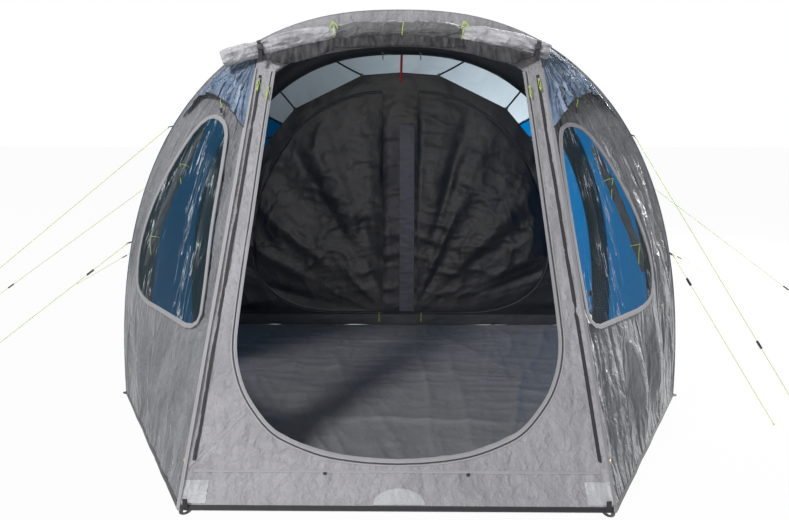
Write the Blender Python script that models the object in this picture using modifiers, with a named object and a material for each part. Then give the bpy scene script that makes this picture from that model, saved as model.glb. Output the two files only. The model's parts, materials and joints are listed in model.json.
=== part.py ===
"""Inflatable tunnel tent: three air beams, a fly with a zipped porch, and a hung bedroom.

Metres, +Z up. The origin is at the middle of the footprint on the ground, and the porch faces -Y.
Every cloth panel is its own thin solid, and every piece that moves has its origin on its joint.
"""

import math

import bmesh
import bpy
import numpy as np
from mathutils import Matrix, Vector

# Depths from front to back
PORCH_DEPTH = 1.27
LIVING_DEPTH = 1.38
BEDROOM_DEPTH = 1.50
REAR_DEPTH = 0.70

# Arches, measured over the fly
ARCH_HALF_WIDTH = 1.47
ARCH_HEIGHT = 2.00
REAR_ARCH_HALF_WIDTH = 1.40
REAR_ARCH_HEIGHT = 1.75
ARCH_POWER_SHARE = 2.4
ARCH_STATIONS = 24
ARCH_SAMPLES = 801
ROOF_FIRST_STATION = 7
BAY_SAG = 0.018

# Air beams
BEAM_RADIUS = 0.065
BEAM_WALL = 0.0015
BEAM_SIDES = 8
BEAM_SETBACK = 0.058
BEAM_COVER = 0.125

# Cloth and clearances
FLY_THICKNESS = 0.0012
WINDOW_THICKNESS = 0.0008
INNER_THICKNESS = 0.0010
GROUNDSHEET_THICKNESS = 0.0012
GAP = 0.0003
SEAM_GAP = 0.0004
PANE_GAP = 0.0006
END_SEAM_GAP = 0.0022
CORNER_GAP = 0.0013
OVERRUN = 0.15
WELD = 0.00002
HEM_SHARE = 0.0008
ARCH_HEM_SHARE = 0.0002
STEP_SHARE = 0.01

# Porch end
PORCH_BASE_HALF_WIDTH = 0.84
PORCH_TOP_HALF_WIDTH = 0.69
PORCH_TOP_SETBACK = 0.13
PORCH_TOP_DROP = 0.26
PORCH_CROWN_RISE = 0.11
PORCH_JOIN_DROP = 0.14

# Rear end
REAR_BASE_HALF_WIDTH = 1.25
REAR_TOP_HALF_WIDTH = 0.56
REAR_TOP_SETBACK = 0.10
REAR_TOP_DROP = 0.17
REAR_CROWN_RISE = 0.07
REAR_JOIN_DROP = 0.08

# Porch side folds
FOLD_DEPTH = 0.012
FOLD_WAVE_COUNT = 4
FOLD_TOP_SHARE = 0.30

# Doorway of the porch panel, half widths at heights
DOORWAY_SHARES = [
    (0.0, 0.090), (0.13, 0.102), (0.37, 0.104), (0.49, 0.114), (0.62, 0.130), (0.74, 0.150),
    (0.86, 0.195), (0.94, 0.238), (0.998, 0.302), (1.0, 0.378), (0.897, 0.955),
]
DOORWAY_HALF_WIDTH = 0.675
DOORWAY_HEAD = 0.03
HEAD_SHARES = [0.98, 0.6, 0.2, -0.2, -0.6, -0.98]

# Windows, as shares across the porch side and up it
WINDOW_LEFT_SHARES = [
    (0.635, 0.826), (0.258, 0.823), (0.180, 0.732), (0.150, 0.560), (0.110, 0.440), (0.095, 0.329),
    (0.450, 0.325), (0.819, 0.318), (0.885, 0.400), (0.880, 0.520), (0.780, 0.680),
]
WINDOW_RIGHT_SHARES = [
    (0.500, 0.783), (0.239, 0.824), (0.060, 0.806), (0.030, 0.618), (0.030, 0.448), (0.040, 0.345),
    (0.282, 0.335), (0.671, 0.318), (0.760, 0.379), (0.755, 0.470), (0.680, 0.600),
]

# Hoods over the windows
HOOD_RISE = 0.052
HOOD_LIFT = 0.0014
HOOD_FULLNESS_SHARE = 0.75
HOOD_FIRST_SHARE = 0.012
HOOD_LAST_SHARE = 0.93
HOOD_TOP_SHARE = 0.997
HOOD_RIM_SHARES = [(0.0, 0.823), (0.27, 0.861), (0.58, 0.868), (0.78, 0.864), (0.88, 0.855), (1.0, 0.80)]

# Rolled door
ROLL_LEFT = -0.83
ROLL_RIGHT = 0.71
ROLL_RADIUS = 0.040
ROLL_BULGE = 0.014
ROLL_BULGE_POWER_SHARE = 1.5
ROLL_PUCKER_SHARE = 0.5
ROLL_PUCKER_COUNT = 3
ROLL_WALL = 0.004
ROLL_SIDES = 12
ROLL_HANG_SHARE = 0.20
ROLL_BEND = 0.66
STRAP_PLACE = 0.655
STRAP_WIDTH = 0.020
STRAP_THICKNESS = 0.0015
ROLL_STAND = 0.0036
TIE_PLACE = 0.31

# Porch zips and their sliders
ZIP_RADIUS = 0.0018
ZIP_LIFT = 0.0012
ZIP_BAND = 0.012
SIDE_ZIP_LOW_INSET = 0.043
SIDE_ZIP_LOW_HEIGHT = 0.16
SIDE_ZIP_HIGH_INSET = 0.025
SIDE_ZIP_HIGH_DROP = 0.06
SLIDER_WIDTH = 0.012
SLIDER_LENGTH = 0.018
SLIDER_HEIGHT = 0.007
SLIDER_SLOT = 0.0005
SIDE_SLIDER_DROP = 0.085
DOOR_SLIDER_DROP = 0.12
PULL_RADIUS = 0.0022
PULL_LENGTH = 0.068
PULL_KNOT_RADIUS = 0.0042

# Peg loops around the hem
LOOP_RADIUS = 0.020
LOOP_WEB = 0.0022
LOOP_SETBACK = 0.035
CORNER_LOOP_INSET = 0.03

# Vent cowls low on the side walls
COWL_NEAR = 0.14
COWL_WIDTH = 0.24
COWL_LOW = 0.13
COWL_HIGH = 0.31
COWL_RISE = 0.055
COWL_LIFT = 0.0006
COWL_FULLNESS_SHARE = 0.7

# Inner tent
INNER_SETBACK = 0.09
INNER_SIDE_SPACE = 0.27
INNER_ROOF_SPACE = 0.23
INNER_REAR_ROOF_SPACE = 0.25
INNER_REAR_SETBACK = 0.025
INNER_LENGTH = 2.05
INNER_REAR_SLOPE = 0.63
INNER_ROOF_SHARES = (0.33, 0.66, 1.0)
INNER_REAR_SHARES = (0.2, 0.45, 0.7, 0.88)
INNER_STATIONS = 18
TUB_HEIGHT = 0.080
TUB_THICKNESS = 0.0012

# Inner doors
DOOR_HINGE = 0.12
DOOR_WIDTH = 0.915
DOOR_MIDDLE = 0.53
DOOR_RISE = 1.10
DOOR_DROP = 0.430
DOOR_FLAT_SHARE = 0.35
DOOR_POWER_SHARE = 2.3
DOOR_COLUMN_COUNT = 14
DOOR_ROW_COUNT = 6
DOOR_GAP = 0.0008
DOOR_FOLD = 0.0073
DOOR_FOLD_COUNT = 3
DOOR_SMALL_FOLD_COUNT = 5
DOOR_SMALL_FOLD_SHARE = 0.5
DOOR_FOLD_SLANT_SHARE = 0.35
DOOR_FOLD_RIM_SHARE = 0.6
DOOR_ZIP_MARGIN = 0.008
INNER_SLIDER_PLACE = 0.150

# Hangers of the inner tent
HANGER_RADIUS = 0.004
HANGER_FACET = 3
HANGER_STATIONS = [(6, 5), (8, 6), (10, 8)]

# Living room groundsheet
SHEET_MARGIN = 0.15
SHEET_PORCH_MARGIN = 0.035

# Valves and caps
VALVE_HEIGHT = 0.26
VALVE_HOLE_LENGTH = 0.040
VALVE_FLANGE_RADIUS = 0.030
VALVE_FLANGE_THICKNESS = 0.003
VALVE_NECK_RADIUS = 0.014
VALVE_NECK_LENGTH = 0.014
VALVE_STUB_RADIUS = 0.012
VALVE_STUB_LENGTH = 0.012
VALVE_BORE_RADIUS = 0.009
VALVE_SIDES = 16
CAP_WALL = 0.002
CAP_GAP = 0.0004

# Guy lines: height of the tab on its arch, and the ground end
GUY_RADIUS = 0.0015
GUY_KNOT_RADIUS = 0.006
GUY_TAB_WIDTH = 0.020
GUY_TAB_REACH = 0.035
GUY_TAB_THICKNESS = 0.002
GUY_TAB_SETBACK = 0.030
GUY_TAB_LEAN_SHARE = 1.5
RUNNER_LENGTH = 0.044
RUNNER_WIDTH = 0.016
RUNNER_HEIGHT = 0.009
RUNNER_BORE_GAP = 0.0004
GUYS = {
    "front_upper_left": ("front", -1, 1.44, (-2.87, -1.555), 1.75),
    "front_lower_left": ("front", -1, 0.84, (-2.46, -1.555), 0.24),
    "middle_left": ("middle", -1, 1.38, (-3.09, -0.145), 1.75),
    "rear_left": ("rear", -1, 0.90, (-2.87, 1.645), 1.30),
    "front_upper_right": ("front", 1, 1.40, (1.99, -1.555), 1.20),
    "front_lower_right": ("front", 1, 0.79, (1.83, -1.555), 0.16),
    "middle_right": ("middle", 1, 1.38, (3.05, -0.005), 1.75),
    "rear_right": ("rear", 1, 0.90, (2.87, 1.645), 1.30),
}

BODY_LENGTH = PORCH_DEPTH + LIVING_DEPTH + BEDROOM_DEPTH + REAR_DEPTH
FRONT_Y = -BODY_LENGTH / 2
FRONT_ARCH_Y = FRONT_Y + PORCH_DEPTH
MIDDLE_ARCH_Y = FRONT_ARCH_Y + LIVING_DEPTH
REAR_ARCH_Y = MIDDLE_ARCH_Y + BEDROOM_DEPTH
REAR_Y = REAR_ARCH_Y + REAR_DEPTH
INNER_FRONT_Y = MIDDLE_ARCH_Y + INNER_SETBACK
INNER_BACK_Y = INNER_FRONT_Y + INNER_LENGTH
PORCH_TOP_HEIGHT = ARCH_HEIGHT - PORCH_TOP_DROP
PORCH_JOIN_HEIGHT = ARCH_HEIGHT - PORCH_JOIN_DROP
REAR_TOP_HEIGHT = REAR_ARCH_HEIGHT - REAR_TOP_DROP
REAR_JOIN_HEIGHT = REAR_ARCH_HEIGHT - REAR_JOIN_DROP
SIDE_ZIP_LOW = (PORCH_BASE_HALF_WIDTH - SIDE_ZIP_LOW_INSET, SIDE_ZIP_LOW_HEIGHT)
SIDE_ZIP_HIGH = (PORCH_TOP_HALF_WIDTH - SIDE_ZIP_HIGH_INSET, PORCH_TOP_HEIGHT - SIDE_ZIP_HIGH_DROP)
SIDE_SLIDER_HEIGHT = PORCH_TOP_HEIGHT - SIDE_SLIDER_DROP
DOOR_SLIDER_HEIGHT = PORCH_TOP_HEIGHT - DOOR_SLIDER_DROP
INNER_HALF_WIDTH = ARCH_HALF_WIDTH - INNER_SIDE_SPACE
INNER_HEIGHT = ARCH_HEIGHT - INNER_ROOF_SPACE
INNER_REAR_HEIGHT = REAR_ARCH_HEIGHT - INNER_REAR_ROOF_SPACE

X_AXIS = Vector((1, 0, 0))
Y_AXIS = Vector((0, 1, 0))
Z_AXIS = Vector((0, 0, 1))


# Scene, materials and object helpers


def clear_scene():
    for obj in list(bpy.data.objects):
        bpy.data.objects.remove(obj, do_unlink=True)
    for name in ("inflatable_tent", "cutters"):
        collection = bpy.data.collections.new(name)
        bpy.context.scene.collection.children.link(collection)


def material(name, color, roughness, metallic=0.0, alpha=1.0):
    found = bpy.data.materials.get(name)
    if found:
        return found
    made = bpy.data.materials.new(name)
    made.use_nodes = True
    shader = made.node_tree.nodes["Principled BSDF"]
    shader.inputs["Base Color"].default_value = (*color, 1)
    shader.inputs["Roughness"].default_value = roughness
    shader.inputs["Metallic"].default_value = metallic
    shader.inputs["Alpha"].default_value = alpha
    return made


def grey_cloth():
    return material("grey_cloth", (0.38, 0.36, 0.37), 0.55)


def blue_cloth():
    return material("blue_cloth", (0.05, 0.12, 0.28), 0.5)


def wall_cloth():
    return material("wall_cloth", (0.01, 0.16, 0.32), 0.55)


def black_cloth():
    return material("black_cloth", (0.015, 0.015, 0.018), 0.6)


def beam_sleeve():
    return material("beam_sleeve", (0.03, 0.03, 0.035), 0.6)


def window_film():
    return material("window_film", (0.3, 0.42, 0.48), 0.12, alpha=0.35)


def ground_cloth():
    return material("ground_cloth", (0.09, 0.10, 0.10), 0.4)


def webbing():
    return material("webbing", (0.02, 0.02, 0.02), 0.8)


def neon_cord():
    return material("neon_cord", (0.75, 0.95, 0.12), 0.6)


def black_plastic():
    return material("black_plastic", (0.02, 0.02, 0.02), 0.4)


def bright_metal():
    return material("bright_metal", (0.5, 0.5, 0.5), 0.3, 1.0)


def place_object(obj, mat, cutter=False):
    collection = bpy.data.collections["cutters" if cutter else "inflatable_tent"]
    collection.objects.link(obj)
    obj.data.materials.clear()
    obj.data.materials.append(mat)
    if cutter:
        obj.hide_render = True
        obj.display_type = "WIRE"
    return obj


def object_from(mesh_data, name, mat, cutter=False):
    mesh = bpy.data.meshes.new(name)
    mesh_data.to_mesh(mesh)
    mesh_data.free()
    mesh.shade_smooth()
    mesh.set_sharp_from_angle(angle=math.radians(35))
    return place_object(bpy.data.objects.new(name, mesh), mat, cutter)


def thicken(obj, thickness, side):
    """Gives a cloth surface its thickness; both faces get the same flat triangles, so a cut stays true."""
    triangles = obj.modifiers.new("triangles", "TRIANGULATE")
    triangles.quad_method = "FIXED"
    solidify = obj.modifiers.new("thickness", "SOLIDIFY")
    solidify.thickness = thickness
    solidify.offset = side
    solidify.use_even_offset = True
    return obj


def cut(obj, cutter, operation="DIFFERENCE"):
    boolean = obj.modifiers.new(cutter.name, "BOOLEAN")
    boolean.object = cutter
    boolean.operation = operation
    boolean.solver = "EXACT"
    return obj


def solid_mesh(obj):
    """The finished mesh of an object in world space, welded, with the object taken away."""
    bpy.context.view_layer.update()
    graph = bpy.context.evaluated_depsgraph_get()
    mesh = bpy.data.meshes.new_from_object(obj.evaluated_get(graph))
    mesh.transform(obj.matrix_world)
    points = bmesh.new()
    points.from_mesh(mesh)
    bmesh.ops.remove_doubles(points, verts=points.verts, dist=WELD)
    bpy.data.meshes.remove(mesh)
    bpy.data.objects.remove(obj, do_unlink=True)
    return points


def join(obj, other):
    """Joins a piece that overlaps this one, such as a loop sewn to a hem, into one solid."""
    return cut(obj, other, "UNION")


def upright_at(obj, point):
    """Remakes an object as a plain mesh, with its origin at a point and no turn."""
    name, mat = obj.name, obj.data.materials[0]
    points = solid_mesh(obj)
    bmesh.ops.translate(points, verts=points.verts, vec=-Vector(point))
    made = object_from(points, name, mat)
    made.location = point
    return made


# Shape helpers


def sheet(name, across, up, place, thickness, mat, side=-1):
    """A cloth panel: a grid whose points go to place(column, row), thickened to one side."""
    grid = bmesh.new()
    bmesh.ops.create_grid(grid, x_segments=across, y_segments=up, size=1)
    for vert in grid.verts:
        column = round((vert.co.x + 1) * across / 2)
        row = round((vert.co.y + 1) * up / 2)
        vert.co = place(column, row)
    bmesh.ops.remove_doubles(grid, verts=grid.verts, dist=WELD)
    return thicken(object_from(grid, name, mat), thickness, side)


def plate(name, outline, thickness, matrix, mat, cutter=False):
    """A flat plate: a filled 2D curve, made a mesh so that it can be cut."""
    curve = bpy.data.curves.new(name, "CURVE")
    curve.dimensions = "2D"
    curve.fill_mode = "BOTH"
    curve.extrude = thickness / 2
    spline = curve.splines.new("POLY")
    spline.points.add(len(outline) - 1)
    for point, (x, y) in zip(spline.points, outline):
        point.co = (x, y, 0, 1)
    spline.use_cyclic_u = True
    flat = place_object(bpy.data.objects.new(name + "_outline", curve), mat, cutter)
    flat.matrix_world = matrix
    return object_from(solid_mesh(flat), name, mat, cutter)


def tube(name, points, radius, resolution, mat, cutter=False):
    curve = bpy.data.curves.new(name, "CURVE")
    curve.dimensions = "3D"
    curve.bevel_depth = radius
    curve.bevel_resolution = resolution
    curve.use_fill_caps = True
    spline = curve.splines.new("POLY")
    spline.points.add(len(points) - 1)
    for point, place in zip(spline.points, points):
        point.co = (*place, 1)
    return place_object(bpy.data.objects.new(name, curve), mat, cutter)


def turned(name, profile, matrix, steps, mat, cutter=False):
    """A turned solid from (radius, height) points that run down its outer side."""
    mesh = bpy.data.meshes.new(name)
    mesh.from_pydata([(r, 0, z) for r, z in profile], [(i, i + 1) for i in range(len(profile) - 1)], [])
    obj = place_object(bpy.data.objects.new(name, mesh), mat, cutter)
    screw = obj.modifiers.new("turn", "SCREW")
    screw.steps = steps
    screw.render_steps = steps
    screw.use_merge_vertices = True
    screw.merge_threshold = WELD
    obj.matrix_world = matrix
    return obj


def block(name, size, matrix, mat, bevel=0.0, cutter=False):
    cube = bmesh.new()
    bmesh.ops.create_cube(cube, size=1)
    bmesh.ops.scale(cube, vec=Vector(size), verts=cube.verts)
    if bevel:
        bmesh.ops.bevel(cube, geom=cube.edges, offset=bevel, segments=1, affect="EDGES")
    obj = object_from(cube, name, mat, cutter)
    obj.matrix_world = matrix
    return obj


def rod(name, start, end, radius, sides, mat, cutter=False):
    """A straight round bar between two points."""
    start, end = Vector(start), Vector(end)
    bar = bmesh.new()
    bmesh.ops.create_cone(
        bar, cap_ends=True, segments=sides, radius1=radius, radius2=radius, depth=(end - start).length
    )
    obj = object_from(bar, name, mat, cutter)
    obj.matrix_world = frame_at((start + end) / 2, end - start, side_of(end - start))
    return obj


def ring(name, centre, major, minor, sides, mat, cutter=False):
    """A flat ring with a square section that stands on its corner."""
    torus = bmesh.new()
    circle = bmesh.ops.create_circle(torus, segments=4, radius=minor)
    bmesh.ops.rotate(torus, verts=torus.verts, cent=(0, 0, 0), matrix=Matrix.Rotation(math.pi / 2, 3, "X"))
    bmesh.ops.translate(torus, verts=torus.verts, vec=(major, 0, 0))
    edges = list({edge for vert in circle["verts"] for edge in vert.link_edges})
    bmesh.ops.spin(
        torus, geom=edges + circle["verts"], cent=(0, 0, 0), axis=(0, 0, 1), angle=2 * math.pi, steps=sides,
        use_merge=True,
    )
    bmesh.ops.remove_doubles(torus, verts=torus.verts, dist=WELD)
    bmesh.ops.recalc_face_normals(torus, faces=torus.faces)
    obj = object_from(torus, name, mat, cutter)
    obj.matrix_world = Matrix.Translation(Vector(centre))
    return obj


def side_of(direction):
    """Any direction that is square to this one."""
    direction = direction.normalized()
    other = X_AXIS if abs(direction.x) < abs(direction.z) else Z_AXIS
    return other.cross(direction).normalized()


def frame_at(point, out, up):
    """A matrix at a point, with its Z along out and its Y as near to up as it can be."""
    z = Vector(out).normalized()
    x = Vector(up).cross(z).normalized()
    y = z.cross(x)
    turn = Matrix((x, y, z)).transposed()
    return Matrix.Translation(Vector(point)) @ turn.to_4x4()


def mix(low, high, share):
    return low + (high - low) * share


def clamp(value):
    return min(1.0, max(0.0, value))


# Arches


class Arch:
    """A cloth arch in an upright plane, from its right foot over to its left foot."""

    def __init__(self, half_width, height, y):
        self.half_width, self.height, self.y = half_width, height, y
        turn = np.linspace(0.0, math.pi, ARCH_SAMPLES)
        power = 2 / ARCH_POWER_SHARE
        self.x = half_width * np.sign(np.cos(turn)) * np.abs(np.cos(turn)) ** power
        self.z = height * np.abs(np.sin(turn)) ** power
        run = np.concatenate([[0.0], np.cumsum(np.hypot(np.diff(self.x), np.diff(self.z)))])
        self.share = run / run[-1]

    def outward(self, share):
        x, z = self.flat(share)
        power = ARCH_POWER_SHARE - 1
        side = abs(x / self.half_width) ** power / self.half_width
        rise = (z / self.height) ** power / self.height
        return Vector((math.copysign(side, x), 0, rise)).normalized()

    def flat(self, share):
        return float(np.interp(share, self.share, self.x)), float(np.interp(share, self.share, self.z))

    def point(self, share, inset=0.0):
        x, z = self.flat(share)
        return Vector((x, self.y, z)) - inset * self.outward(share)

    def half_width_at(self, z):
        inside = max(0.0, 1 - (z / self.height) ** ARCH_POWER_SHARE)
        return self.half_width * inside ** (1 / ARCH_POWER_SHARE)

    def height_at(self, x):
        inside = max(0.0, 1 - (abs(x) / self.half_width) ** ARCH_POWER_SHARE)
        return self.height * inside ** (1 / ARCH_POWER_SHARE)

    def share_at(self, z, side):
        half = len(self.z) // 2
        share = float(np.interp(z, self.z[:half], self.share[:half]))
        return share if side > 0 else 1 - share


FRONT_ARCH = Arch(ARCH_HALF_WIDTH, ARCH_HEIGHT, FRONT_ARCH_Y)
MIDDLE_ARCH = Arch(ARCH_HALF_WIDTH, ARCH_HEIGHT, MIDDLE_ARCH_Y)
REAR_ARCH = Arch(REAR_ARCH_HALF_WIDTH, REAR_ARCH_HEIGHT, REAR_ARCH_Y)
ARCHES = {"front": FRONT_ARCH, "middle": MIDDLE_ARCH, "rear": REAR_ARCH}
LOOP_ARCHES = {"front": (FRONT_ARCH, MIDDLE_ARCH), "rear": (REAR_ARCH,)}
GUY_PANELS = {"front": "front", "middle": "rear", "rear": "rear"}
BEAM_PLACES = {
    "front": FRONT_ARCH_Y + BEAM_SETBACK,
    "middle": MIDDLE_ARCH_Y,
    "rear": REAR_ARCH_Y - BEAM_SETBACK,
}


def fly_section(y):
    """The fly's outline at a place along the tent, a little lower between two beams."""
    front, back = (FRONT_ARCH, MIDDLE_ARCH) if y <= MIDDLE_ARCH_Y else (MIDDLE_ARCH, REAR_ARCH)
    free = clamp((y - front.y - BEAM_COVER) / (back.y - front.y - 2 * BEAM_COVER))
    sag = BAY_SAG * math.sin(math.pi * free)
    half_width = mix(front.half_width, back.half_width, free) - sag
    return Arch(half_width, mix(front.height, back.height, free) - sag, y)


# Fly over the two bays


def bay_panel(name, front, back, first, last, mat):
    """A panel of the fly between two arches, from one arch station to another."""
    start, end = front.y + SEAM_GAP, back.y - SEAM_GAP
    low, high = front.y + BEAM_COVER, back.y - BEAM_COVER
    places = [start, low, *(mix(low, high, step / 4) for step in (1, 2, 3)), high, end]
    sections = [fly_section(y) for y in places]
    count = last - first
    seam_share = SEAM_GAP / (front.half_width + front.height)

    def place(column, row):
        share = (last - column) / ARCH_STATIONS
        if column == 0 and last < ARCH_STATIONS:
            share -= seam_share
        if column == count and first > 0:
            share += seam_share
        return sections[row].point(min(1 - ARCH_HEM_SHARE, max(ARCH_HEM_SHARE, share)))

    return sheet(name, count, len(places) - 1, place, FLY_THICKNESS, mat)


def build_bays():
    """The roof and wall panels of both bays, with the loops and tabs that are sewn to the walls."""
    first, last = ROOF_FIRST_STATION, ARCH_STATIONS - ROOF_FIRST_STATION
    for part, front, back in (("front", FRONT_ARCH, MIDDLE_ARCH), ("rear", MIDDLE_ARCH, REAR_ARCH)):
        bay_panel(f"roof_{part}", front, back, first, last, grey_cloth())
        right = bay_panel(f"wall_{part}_right", front, back, 0, first, wall_cloth())
        left = bay_panel(f"wall_{part}_left", front, back, last, ARCH_STATIONS, wall_cloth())
        for side, hand, wall in ((-1, "left", left), (1, "right", right)):
            for arch in LOOP_ARCHES[part]:
                y = arch.y + math.copysign(LOOP_SETBACK, (front.y + back.y) / 2 - arch.y)
                reach = arch.half_width + LOOP_RADIUS + LOOP_WEB - FLY_THICKNESS / 2
                join(wall, peg_loop(f"loop_{part}_{hand}_{arch.y:.2f}", (side * reach, y)))
            for name, values in GUYS.items():
                if values[1] == side and GUY_PANELS[values[0]] == part:
                    join(wall, guy_tab(name, *values[:4]))


def peg_loop(name, place):
    """A webbing loop lying on the ground at a hem."""
    return ring(name, (*place, LOOP_WEB), LOOP_RADIUS, LOOP_WEB, 8, webbing(), cutter=True)


# Sloped ends of the tent


class End:
    """A sloped end: an upright-edged flat panel in the middle, and a ruled side to the arch on each hand."""

    def __init__(self, arch, base_y, top_y, base_half, top_half, top_z, crown, join_z):
        self.arch, self.base_y, self.top_y = arch, base_y, top_y
        self.base_half, self.top_half, self.top_z = base_half, top_half, top_z
        self.crown, self.join_z = crown, join_z
        self.facing = 1 if base_y > arch.y else -1
        slope = Vector((0, top_y - base_y, top_z))
        self.slope = slope.normalized()
        self.normal = (self.facing * X_AXIS.cross(slope)).normalized() * -1
        self.lean = (top_y - base_y) / top_z

    def edge(self, share, side):
        """The edge between the middle panel and a side."""
        half = mix(self.base_half, self.top_half, share)
        return Vector((side * half, mix(self.base_y, self.top_y, share), self.top_z * share))

    def arch_point(self, share, side):
        z = self.join_z * share
        return Vector((side * self.arch.half_width_at(z), self.arch.y, z))

    def side_point(self, across, share, side):
        """A point of a side: across is 0 at the middle panel and 1 at the arch."""
        return self.edge(share, side).lerp(self.arch_point(share, side), across)

    def side_normal(self, across, share, side):
        here = self.side_point(across, share, side)
        low = min(share, 1 - STEP_SHARE)
        along = self.side_point(across + STEP_SHARE, share, side) - here
        up = self.side_point(across, low + STEP_SHARE, side) - self.side_point(across, low, side)
        normal = along.cross(up).normalized()
        return normal if normal.x * side > 0 else -normal

    def panel_point(self, x, z, lift=0.0):
        """A point of the middle panel's plane, lifted off its outer face."""
        return Vector((x, self.base_y + z * self.lean, z)) + lift * self.normal

    def crown_height(self, share):
        """The panel's top edge, highest at the middle."""
        return self.top_z + self.crown * (1 - share * share)

    def half_at(self, z):
        return mix(self.base_half, self.top_half, z / self.top_z)

    def panel_grid_point(self, share, up):
        """A point of the middle panel from shares across it and up it."""
        z = self.crown_height(share) * max(up, HEM_SHARE)
        return self.panel_point(share * self.half_at(min(z, self.top_z)), z)

    def side_end(self, share, side):
        """How far across a side its cloth goes, just short of the arch."""
        return 1 - END_SEAM_GAP / (self.arch_point(share, side) - self.edge(share, side)).length

    def header_end(self, share):
        """How far up the header its cloth goes, just short of the arch."""
        return 1 - END_SEAM_GAP / (self.header_point(share, 1.0) - self.header_point(share, 0.0)).length

    def header_point(self, share, rise):
        """A point of the short header from the panel's top edge up to the arch; share is -1 to 1 across."""
        z = self.crown_height(share)
        low = self.panel_point(share * self.half_at(min(z, self.top_z)), z)
        x = share * self.arch.half_width_at(self.join_z)
        high = Vector((x, self.arch.y, self.arch.height_at(x)))
        return low.lerp(high, rise)

    def header_normal(self, share, rise):
        up = self.header_point(share, 1.0) - self.header_point(share, 0.0)
        last = min(1, share + STEP_SHARE)
        along = self.header_point(last, rise) - self.header_point(share - STEP_SHARE, rise)
        normal = up.cross(along).normalized()
        return normal if normal.y * self.facing > 0 else -normal


PORCH = End(
    FRONT_ARCH, FRONT_Y, FRONT_ARCH_Y - PORCH_TOP_SETBACK, PORCH_BASE_HALF_WIDTH, PORCH_TOP_HALF_WIDTH,
    PORCH_TOP_HEIGHT, PORCH_CROWN_RISE, PORCH_JOIN_HEIGHT,
)
REAR = End(
    REAR_ARCH, REAR_Y, REAR_ARCH_Y + REAR_TOP_SETBACK, REAR_BASE_HALF_WIDTH, REAR_TOP_HALF_WIDTH,
    REAR_TOP_HEIGHT, REAR_CROWN_RISE, REAR_JOIN_HEIGHT,
)
PANEL_COLUMN_COUNT = 12
PANEL_ROW_COUNT = 6
HEADER_ROW_COUNT = 2


def porch_panel():
    """The sloped middle panel of the porch with its header, as one cloth."""
    rows = PANEL_ROW_COUNT + HEADER_ROW_COUNT

    def place(column, row):
        share = 2 * column / PANEL_COLUMN_COUNT - 1
        trim = math.copysign(CORNER_GAP, share) if abs(share) == 1 else 0.0
        if row <= PANEL_ROW_COUNT:
            point = PORCH.panel_grid_point(share, row / PANEL_ROW_COUNT)
        else:
            rise = (row - PANEL_ROW_COUNT) / HEADER_ROW_COUNT
            point = PORCH.header_point(share, min(rise, PORCH.header_end(share)))
        return point - trim * X_AXIS

    return sheet("porch_panel", PANEL_COLUMN_COUNT, rows, place, FLY_THICKNESS, grey_cloth())


SIDE_COLUMN_COUNT = 16
SIDE_ROW_SHARES = [HEM_SHARE, 0.08, 0.15, 0.22, FOLD_TOP_SHARE, 0.45, 0.60, 0.76, 0.87, 0.94, 1]


def porch_side(name, side, thickness, mat):
    """A ruled side of the porch, with upright folds in the cloth near the ground."""

    def place(column, row):
        share = SIDE_ROW_SHARES[row]
        across = column / SIDE_COLUMN_COUNT if side > 0 else 1 - column / SIDE_COLUMN_COUNT
        edge_run = (PORCH.arch_point(share, side) - PORCH.edge(share, side)).length
        across = mix(CORNER_GAP / edge_run, PORCH.side_end(share, side), across)
        wave = math.sin(math.pi * clamp(share / FOLD_TOP_SHARE)) * math.sin(math.pi * across)
        wave *= math.cos(2 * math.pi * FOLD_WAVE_COUNT * across)
        fold = FOLD_DEPTH * wave * PORCH.side_normal(across, share, side)
        return PORCH.side_point(across, share, side) + fold

    return sheet(name, SIDE_COLUMN_COUNT, len(SIDE_ROW_SHARES) - 1, place, thickness, mat)


def doorway_outline():
    """The doorway of the porch panel, from the crown down one side, round the bottom and up."""
    right = [(share * DOORWAY_HALF_WIDTH, z * PORCH_TOP_HEIGHT) for share, z in DOORWAY_SHARES]
    left = [(-x, z) for x, z in reversed(right) if x > 0]
    last = right[-1][0]
    head = [(share * last, PORCH.crown_height(share) - DOORWAY_HEAD) for share in HEAD_SHARES]
    return right + head + left


def upright_frame(y):
    """Local X across the tent, local Y up, local Z towards the porch."""
    return frame_at((0, y, 0), -Y_AXIS, Z_AXIS)


def window_cutter(name, side, shares, shrink):
    """A prism through a porch side, with the window's outline."""
    points = [PORCH.side_point(across, share, side) for across, share in shares]
    centre = sum(points, Vector()) / len(points)
    normal = Vector()
    for here, after in zip(points, points[1:] + points[:1]):
        normal += (here - centre).cross(after - centre)
    normal.normalize()
    if normal.x * side < 0:
        normal.negate()
    frame = frame_at(centre, normal, Z_AXIS)
    flat = [frame.inverted() @ point for point in points]
    outline = []
    for point in flat:
        length = math.hypot(point.x, point.y)
        outline.append((point.x * (1 - shrink / length), point.y * (1 - shrink / length)))
    return plate(name, outline, OVERRUN * 2, frame, webbing(), cutter=True)


def build_porch():
    frame = upright_frame(FRONT_Y)
    doorway = plate("doorway", doorway_outline(), PORCH_DEPTH * 2, frame, webbing(), cutter=True)
    panel = cut(porch_panel(), doorway)
    build_porch_zips(panel)
    for side in (-1, 1):
        place = (side * (PORCH_BASE_HALF_WIDTH - CORNER_LOOP_INSET), FRONT_Y - LOOP_RADIUS + LOOP_WEB / 2)
        join(panel, peg_loop(f"loop_porch_{side}", place))
    for side, hand, shares in ((-1, "left", WINDOW_LEFT_SHARES), (1, "right", WINDOW_RIGHT_SHARES)):
        wall = porch_side(f"porch_side_{hand}", side, FLY_THICKNESS, grey_cloth())
        cut(wall, window_cutter(f"window_hole_{hand}", side, shares, 0.0))
        pane = porch_side(f"window_{hand}", side, WINDOW_THICKNESS, window_film())
        cut(pane, window_cutter(f"window_edge_{hand}", side, shares, PANE_GAP), "INTERSECT")


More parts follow.
